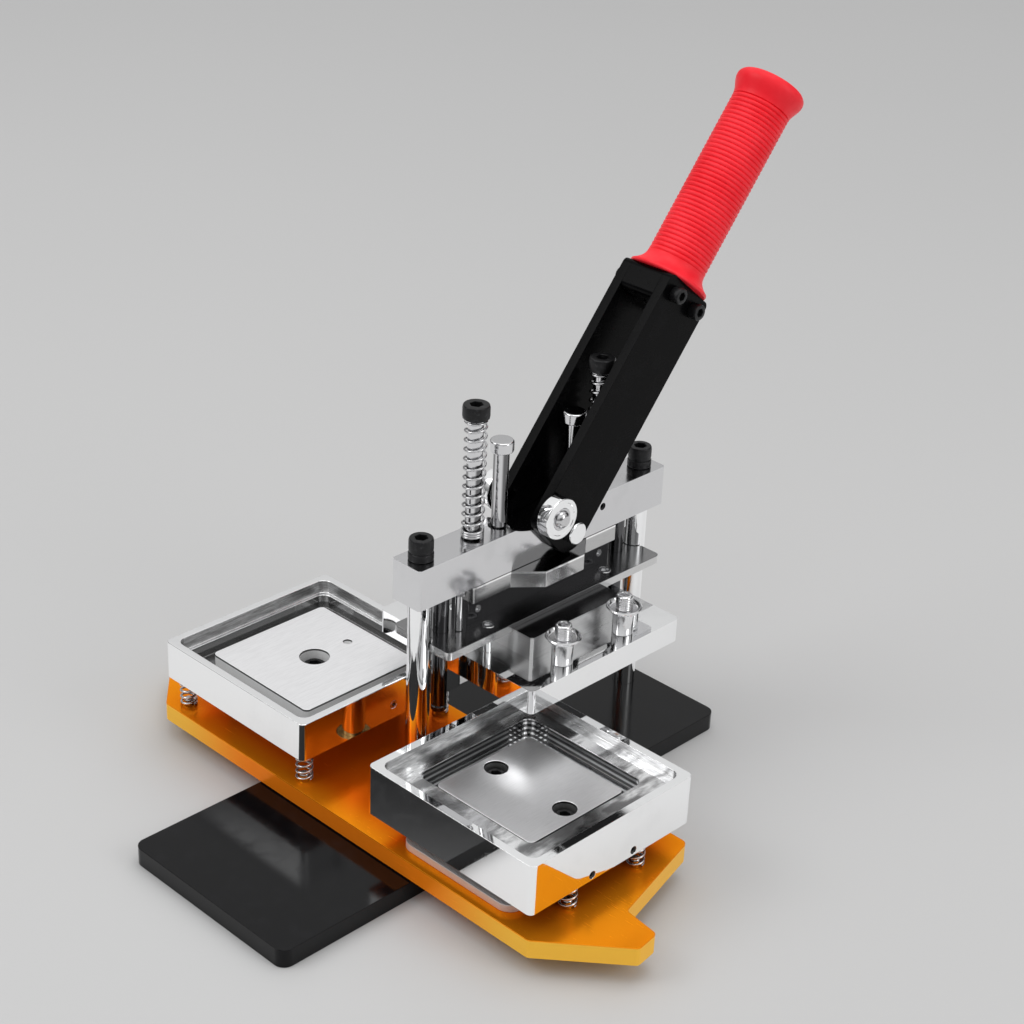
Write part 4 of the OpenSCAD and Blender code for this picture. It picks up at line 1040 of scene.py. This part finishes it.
@dataclass
class Lever:
    """The lever's ribbed grip and its socket screws, in the lever's own frame at rest."""

    fulcrum: Point = (0.0, 0.089, 0.1335)
    lean: float = math.radians(39.3)
    grip_start: float = 0.1365
    grip_front: float = 0.0075
    grip_length: float = 0.116
    bore: float = 0.0081
    flange: float = 0.02175
    flange_rim: Sequence[Pair] = ((0.0006, 0.0), (0.0001, 0.0004), (0.0, 0.0010), (0.0002, 0.0017))
    flare_start: float = 0.0019
    flare_inset: float = 0.0005
    flare_power: float = 2.2
    core: float = 0.0153
    ribs: int = 37
    rib: float = 0.0008
    rib_start: float = 0.0098
    rib_end: float = 0.1018
    last_groove: float = 0.0003
    knob: float = 0.0190
    knob_round: float = 0.0042
    end_flat: float = 0.004
    screw: SocketHead = SocketHead(0.0085, 0.005, 0.0042, 44, knurl_depth=0.0001, edge=0.0004, sides=176)
    screw_shank: Pair = (0.0025, 0.0115)
    screw_up: float = 0.12875
    screw_spread: float = 0.010
    screw_seat: float = 0.016

    def axes(self) -> tuple[np.ndarray, np.ndarray]:
        """The directions up the lever and to its front, as unit vectors."""
        sine, cosine = math.sin(self.lean), math.cos(self.lean)
        return np.array([0.0, sine, cosine]), np.array([0.0, -cosine, sine])

    def at(self, up: float, front: float, side: float = 0.0) -> Point:
        """A point given up the lever, to its front and along the pin."""
        along, ahead = self.axes()
        return tuple(np.array(self.fulcrum) + up * along + front * ahead + np.array([side, 0.0, 0.0]))

    def grip_profile(self) -> list[Pair]:
        """Half outline of the grip: a flat flange, a flare, the ribs, a flare and a soft round end.

        The ribs follow the fourth root of a raised cosine, so that only thin grooves part them.

        Returns:
            The outline as radius and height.
        """
        turn = np.linspace(0, 1, 9)
        foot = [(self.bore, 0.0)] + [(self.flange - inset, height) for inset, height in self.flange_rim]
        low = self.core + self.rib
        fall, climb = self.flange - self.flare_inset - low, self.rib_start - self.flare_start
        flare = [(low + fall * (1 - t) ** self.flare_power, self.flare_start + climb * t) for t in turn]
        steps = np.linspace(0, self.ribs, self.ribs * 12 + 1)
        wave = self.core + self.rib * (0.5 - 0.5 * np.cos(2 * np.pi * steps)) ** 0.25
        heights = self.rib_start + (self.rib_end - self.rib_start) * steps / self.ribs
        ribs = list(zip(wave.tolist(), heights.tolist()))
        swell, start = self.grip_length - self.knob_round, self.rib_end + self.last_groove
        upper = [
            (low + (self.knob - low) * (3 * t * t - 2 * t**3), start + (swell - start) * t) for t in turn
        ]
        end = rounding(self.knob, swell, self.knob_round, 9)
        end += [(self.end_flat, self.grip_length), (CENTRE, self.grip_length)]
        return foot + flare + ribs + upper + end

    def build(self) -> None:
        """Builds the grip and the screws of the block at its foot."""
        along, ahead = self.axes()
        move = axis_matrix(self.at(self.grip_start, self.grip_front), tuple(along), tuple(ahead))
        grip = turned(self.grip_profile(), 128).placed(move)
        add_piece(grip, "ribbed_grip", Body.LEVER, "red_rubber", ("grip",), 60.0)
        radius, length = self.screw_shank
        one = Shape.joined([self.screw.shape(), turned([(radius, -length), (radius, OVERLAP)], 32)])
        screws = []
        for row in (-1, 1):
            front = self.grip_front + self.screw_spread * row
            for side in (-1, 1):
                seat = self.at(self.screw_up, front, self.screw_seat * side)
                screws.append(one.placed(axis_matrix(seat, (side, 0, 0), (0, 0, 1))))
        four = Shape.joined(screws)
        add_piece(four, "block_socket_screws", Body.LEVER, "black_oxide", ("lever_block_screws",))


@dataclass
class BlackScrews:
    """The knurled socket heads on the beam's columns and on the return rods."""

    column_places: Sequence[float] = (0.0, 0.158)
    column_head: SocketHead = SocketHead(0.0124, 0.0072, 0.006, 56)
    column_shank: Pair = (0.004, 0.0414)
    column_seat: float = 0.1469
    rod_places: Sequence[float] = (0.0345, 0.1235)
    rod_head: SocketHead = SocketHead(0.0136, 0.007, 0.006, 60)
    rod_seat: float = 0.207

    def build(self) -> None:
        """Builds both pairs of heads."""
        radius, length = self.column_shank
        screw = Shape.joined([self.column_head.shape(), turned([(radius, -length), (radius, OVERLAP)], 48)])
        screws = Shape.joined([screw.lifted((0.0, y, self.column_seat)) for y in self.column_places])
        add_piece(screws, "column_socket_screws", Body.FRAME, "black_oxide", ("column_cap_screws",))
        heads = Shape.joined([self.rod_head.shape().lifted((0.0, y, self.rod_seat)) for y in self.rod_places])
        add_piece(heads, "return_rod_socket_heads", Body.RAM, "black_oxide", ("return_rod_heads",))


@dataclass
class PressBushes:
    """The four bright bushes on the upper die, each with a dished washer and a grooved screw head."""

    centre: Point = (0.0, 0.079, 0.082)
    reach: Pair = (0.0442, 0.0225)
    bush: Pair = (0.0055, 0.0124)
    edge: float = 0.0005
    soft: float = 0.0001
    washer: tuple[float, float, float, float] = (0.0093, 0.0067, 0.0014, 0.0016)
    lip: float = 0.0004
    inner_lip: float = 0.0010
    head: Pair = (0.0044, 0.008)
    grooves: int = 6
    groove: float = 0.00022
    groove_start: float = 0.0003
    dome: float = 0.0015
    socket: Sequence[Pair] = ((0.0022, 0.0), (0.0020, 0.0003), (0.0020, 0.0028), (CENTRE, 0.0034))
    shank: Pair = (0.0025, 0.008)

    def _bush_profile(self) -> list[Pair]:
        """Half outline of a bush with softened rims.

        Returns:
            The outline as radius and height.
        """
        radius, height = self.bush
        low = [(radius - self.edge, 0.0), (radius - self.soft, self.soft), (radius, self.edge)]
        return low + [(r, height - z) for r, z in reversed(low)]

    def _washer_profile(self) -> list[Pair]:
        """Half outline of a washer whose rim is dished upwards: a flat, a smooth rise and a rounded lip.

        Returns:
            The outline as radius and height.
        """
        rim, foot, thick, dish = self.washer
        share = np.linspace(0, 1, 7)
        bowl = list(zip(share.tolist(), (dish * share * share).tolist()))
        under = [(foot + (rim - self.lip - foot) * t, z) for t, z in bowl]
        lip = [(rim, dish + self.edge), (rim, dish + thick - self.lip), (rim - self.lip, dish + thick)]
        over = [(foot + (rim - self.inner_lip - foot) * t, z + thick) for t, z in reversed(bowl)]
        return under + lip + over[:-1] + [(foot, thick)]

    def _head_profile(self) -> list[Pair]:
        """Half outline of a screw head with fine grooves, a domed rim and a round socket.

        Returns:
            The outline as radius and height.
        """
        radius, height = self.head
        steps = np.linspace(0, 1, 61)
        depth = self.groove * (0.5 - 0.5 * np.cos(2 * np.pi * self.grooves * steps)) ** 2
        tall = height - self.dome - self.groove_start
        side = [(radius - float(g), self.groove_start + tall * float(t)) for t, g in zip(steps, depth)]
        dome = rounding(radius, height - self.dome, self.dome, 7)
        return [(radius - self.lip, 0.0)] + side + dome + [(r, height - z) for r, z in self.socket]

    def build(self) -> None:
        """Builds the bushes, the washers and the screws at the four places."""
        height, thick = self.bush[1], self.washer[2]
        radius, length = self.shank
        shank = turned([(radius, -(height + thick + length)), (radius, OVERLAP)], 48)
        head = Shape.joined([turned(self._head_profile()), shank]).lifted((0, 0, height + thick))
        washer = turned(self._washer_profile(), 128).lifted((0, 0, height))
        for shape, name, slot, node in (
            (turned(self._bush_profile()), "press_bushes", "mirror_chrome", "die_bushes"),
            (washer, "press_washers", "mirror_chrome", "dished_washers"),
            (head, "press_bush_screws", "plain_steel", "die_bush_screws"),
        ):
            four = shape.at_corners(self.centre, self.reach)
            add_piece(four, name, Body.RAM, slot, (node,), 40.0)


@dataclass
class Rollers:
    """The lever's two rollers: a turning rim round a shielded core, and a domed screw through each.

    The axle runs along X, at the given Y and Z.
    """

    axle: Pair = (0.072722, 0.148504)
    inner: float = 0.0175
    width: float = 0.007
    rim: float = 0.011
    shoulder: float = 0.0006
    chamfer: float = 0.0002
    shield: float = 0.0083
    hub: float = 0.006
    soft: float = 0.0001
    ring: Sequence[Pair] = ((0.0006, 0.0), (0.0008, 0.00015), (0.0010, 0.0))
    bore: float = 0.0086
    sunk: float = 0.0005
    spacer: float = 0.0015
    head: Pair = (0.0047, 0.0028)
    head_foot: float = 0.0003
    head_bend: float = 1.05
    hexagon: float = 0.0036
    hexagon_span: Pair = (0.0004, 0.00002)

    def _rim_profile(self) -> list[Pair]:
        """Half outline of the turning rim, rounded at both shoulders.

        Returns:
            The outline as radius and height.
        """
        bend = np.linspace(0, np.pi / 2, 5)
        low = [(self.bore, self.chamfer), (self.bore + self.chamfer, 0.0)]
        size = self.shoulder
        low += [(self.rim - size * (1 - math.sin(b)), size * (1 - math.cos(b))) for b in bend]
        return low + [(r, self.width - z) for r, z in reversed(low)]

    def _core_profile(self) -> list[Pair]:
        """Half outline of the still core: spacer, sunk shield with a pressed ring, and the raised hub.

        Returns:
            The outline as radius and height.
        """
        face, soft = self.width - self.sunk, self.soft
        spacer = [(self.hub - soft, -self.spacer), (self.hub, -self.spacer + soft), (self.hub, soft)]
        shield = [(self.shield, soft), (self.shield, face - soft), (self.shield - soft, face)]
        shield += [(self.shield - inset, face - depth) for inset, depth in self.ring]
        hub = [(self.hub + soft, face), (self.hub, face + soft)]
        hub += [(self.hub, self.width - self.chamfer), (self.hub - self.chamfer, self.width)]
        return spacer + shield + hub

    def _head_profile(self) -> list[Pair]:
        """Half outline of the screw's domed head.

        Returns:
            The outline as radius and height.
        """
        radius, height = self.head
        bend = np.linspace(0, 1, 12)[1:] * self.head_bend
        tall = height / math.sin(self.head_bend)
        dome = [(radius * math.cos(b), max(tall * math.sin(b), self.head_foot)) for b in bend]
        return [(radius - self.chamfer, 0.0), (radius, self.chamfer)] + dome

    def build(self) -> None:
        """Builds both sides, the far one facing the other way."""
        parts: list[Shape] = []
        deep, proud = self.hexagon_span
        flats = [(self.hexagon / 2, self.head[1] - deep), (self.hexagon / 2, self.head[1] + proud)]
        for side, body, label in ((1.0, Body.NEAR_WHEEL, "near"), (-1.0, Body.FAR_WHEEL, "far")):
            start, end = (
                axis_matrix((side * reach, *self.axle), (side, 0, 0), (0, 0, 1))
                for reach in (self.inner, self.inner + self.width)
            )
            rim = turned(self._rim_profile(), 160).placed(start)
            core = turned(self._core_profile(), 128).placed(start)
            add_piece(rim, f"{label}_rim", body, "mirror_chrome", (f"{label}_roller",), 40.0)
            add_piece(core, f"{label}_core", Body.LEVER, "plain_steel", (f"{label}_bearing_core",), 40.0)
            parts += [turned(self._head_profile()).placed(end), turned(flats, 6).placed(end)]
        screws = Shape.joined(parts)
        add_piece(screws, "roller_domed_screws", Body.LEVER, "plain_steel", ("roller_screws",), 40.0)


# Stage


@dataclass(frozen=True)
class Lamp:
    """A soft rectangular lamp: where it stands, where it points, its width and height, and its watts."""

    name: str
    place: Point
    aim: Point
    size: Pair
    power: float

    def build(self) -> None:
        """Adds the lamp to the scene."""
        data = bpy.data.lights.new(self.name, "AREA")
        data.shape = "RECTANGLE"
        data.size, data.size_y = self.size
        data.energy = self.power
        back = np.array(self.place) - np.array(self.aim)
        back /= np.linalg.norm(back)
        right = np.cross((0.0, 0.0, 1.0), back)
        right /= np.linalg.norm(right)
        matrix = axis_matrix(self.place, tuple(back), tuple(right))
        linked(self.name, data).matrix_world = Matrix(matrix.tolist())


@dataclass
class Studio:
    """The floor, the surroundings, the lamps and the camera of the photograph."""

    lamps: Sequence[Lamp] = (
        Lamp("key_softbox", (-0.9, -1.3, 1.7), (0.0, 0.0, 0.08), (1.3, 0.9), 11.0),
        Lamp("side_softbox", (1.7, 0.5, 0.9), (0.0, 0.05, 0.08), (0.7, 1.1), 6.0),
        Lamp("top_softbox", (0.1, 0.2, 2.0), (0.0, 0.05, 0.0), (1.2, 1.2), 7.0),
    )
    floor_half: float = 7.0
    surround: float = 0.56
    ground: float = 0.26
    sky: float = 0.78
    dawn: Pair = (0.05, 0.75)
    strength: float = 0.9
    flags: Sequence[tuple[float, float, float]] = ((-150, 16, 0.55), (-28, 10, 0.45), (75, 14, 0.6))
    flag_dark: float = 0.93
    flag_blur: float = 3.0
    flag_fade: float = 0.08
    eye: Point = (0.6513, -0.6218, 0.6300)
    right: Point = (0.7098, 0.7033, 0.0388)
    up: Point = (-0.3454, 0.2995, 0.8894)
    back: Point = (0.6139, -0.6447, 0.4555)
    lens: float = 74.65
    sensor: float = 36.0
    clip: Pair = (0.01, 50.0)

    def build(self) -> None:
        """Builds the whole stage."""
        self._camera()
        self._floor()
        self._world()
        for lamp in self.lamps:
            lamp.build()
        bpy.context.scene.view_settings.view_transform = "Standard"

    def _camera(self) -> None:
        """Sets the camera where the photograph was taken from."""
        data = bpy.data.cameras.new("camera")
        data.lens = self.lens
        data.sensor_width = self.sensor
        data.clip_start, data.clip_end = self.clip
        matrix = np.eye(4)
        matrix[:3] = np.stack([self.right, self.up, self.back, self.eye], axis=1)
        camera = linked("camera", data)
        camera.matrix_world = Matrix(matrix.tolist())
        bpy.context.scene.camera = camera

    def _floor(self) -> None:
        """Lays a wide pale floor under the base plate."""
        half = self.floor_half
        corners = np.array([(-half, -half, 0), (half, -half, 0), (half, half, 0), (-half, half, 0)])
        floor = Shape(corners, [[0, 1, 2, 3]]).piece("floor")
        floor.data.materials.append(FloorPaint("pale_floor").material())

    def _world(self) -> None:
        """Surrounds the press with a pale studio: bright overhead, with dark flags that the metal shows.

        Each flag is the degrees of its middle, its half width in degrees, and the height that it reaches.
        Heights are shares of the way up the surroundings, and the dawn is where the sky begins and is full.
        """
        world = bpy.data.worlds.new("studio")
        bpy.context.scene.world = world
        world.use_nodes = True
        tree = Tree(world.node_tree)
        way = tree.add("ShaderNodeTexCoord", output="Generated")
        x, y, height = (tree.add("ShaderNodeSeparateXYZ", {}, {0: way}, output=i) for i in range(3))
        side = tree.add("ShaderNodeMath", {"operation": "ARCTAN2"}, {0: y, 1: x}) * (180 / math.pi)
        grey = self.ground + height.smooth(*self.dawn) * self.sky
        for centre, half, high in self.flags:
            window = (half - abs(side - centre)).smooth(-self.flag_blur, self.flag_blur)
            band = height.smooth(high + self.flag_fade, high - self.flag_fade)
            grey = grey * (1.0 - window * band * self.flag_dark)
        path = tree.add("ShaderNodeLightPath", output="Is Camera Ray")
        seen = tree.add("ShaderNodeBackground", {}, {"Color": (self.surround,) * 3, "Strength": 1.0})
        colour = tree.add("ShaderNodeCombineColor", {}, {0: grey, 1: grey, 2: grey})
        light = tree.add("ShaderNodeBackground", {}, {"Color": colour, "Strength": self.strength})
        both = tree.add("ShaderNodeMixShader", {}, {0: path, 1: light, 2: seen})
        tree.add("ShaderNodeOutputWorld", {}, {"Surface": both})


def main() -> None:
    """Builds the stage and the pieces in order."""
    logging.basicConfig(level=logging.INFO, format="%(message)s")
    Studio().build()
    Springs().build()
    Lever().build()
    BlackScrews().build()
    PressBushes().build()
    Rollers().build()
    MetalNodes().dress()


if __name__ == "__main__":
    main()
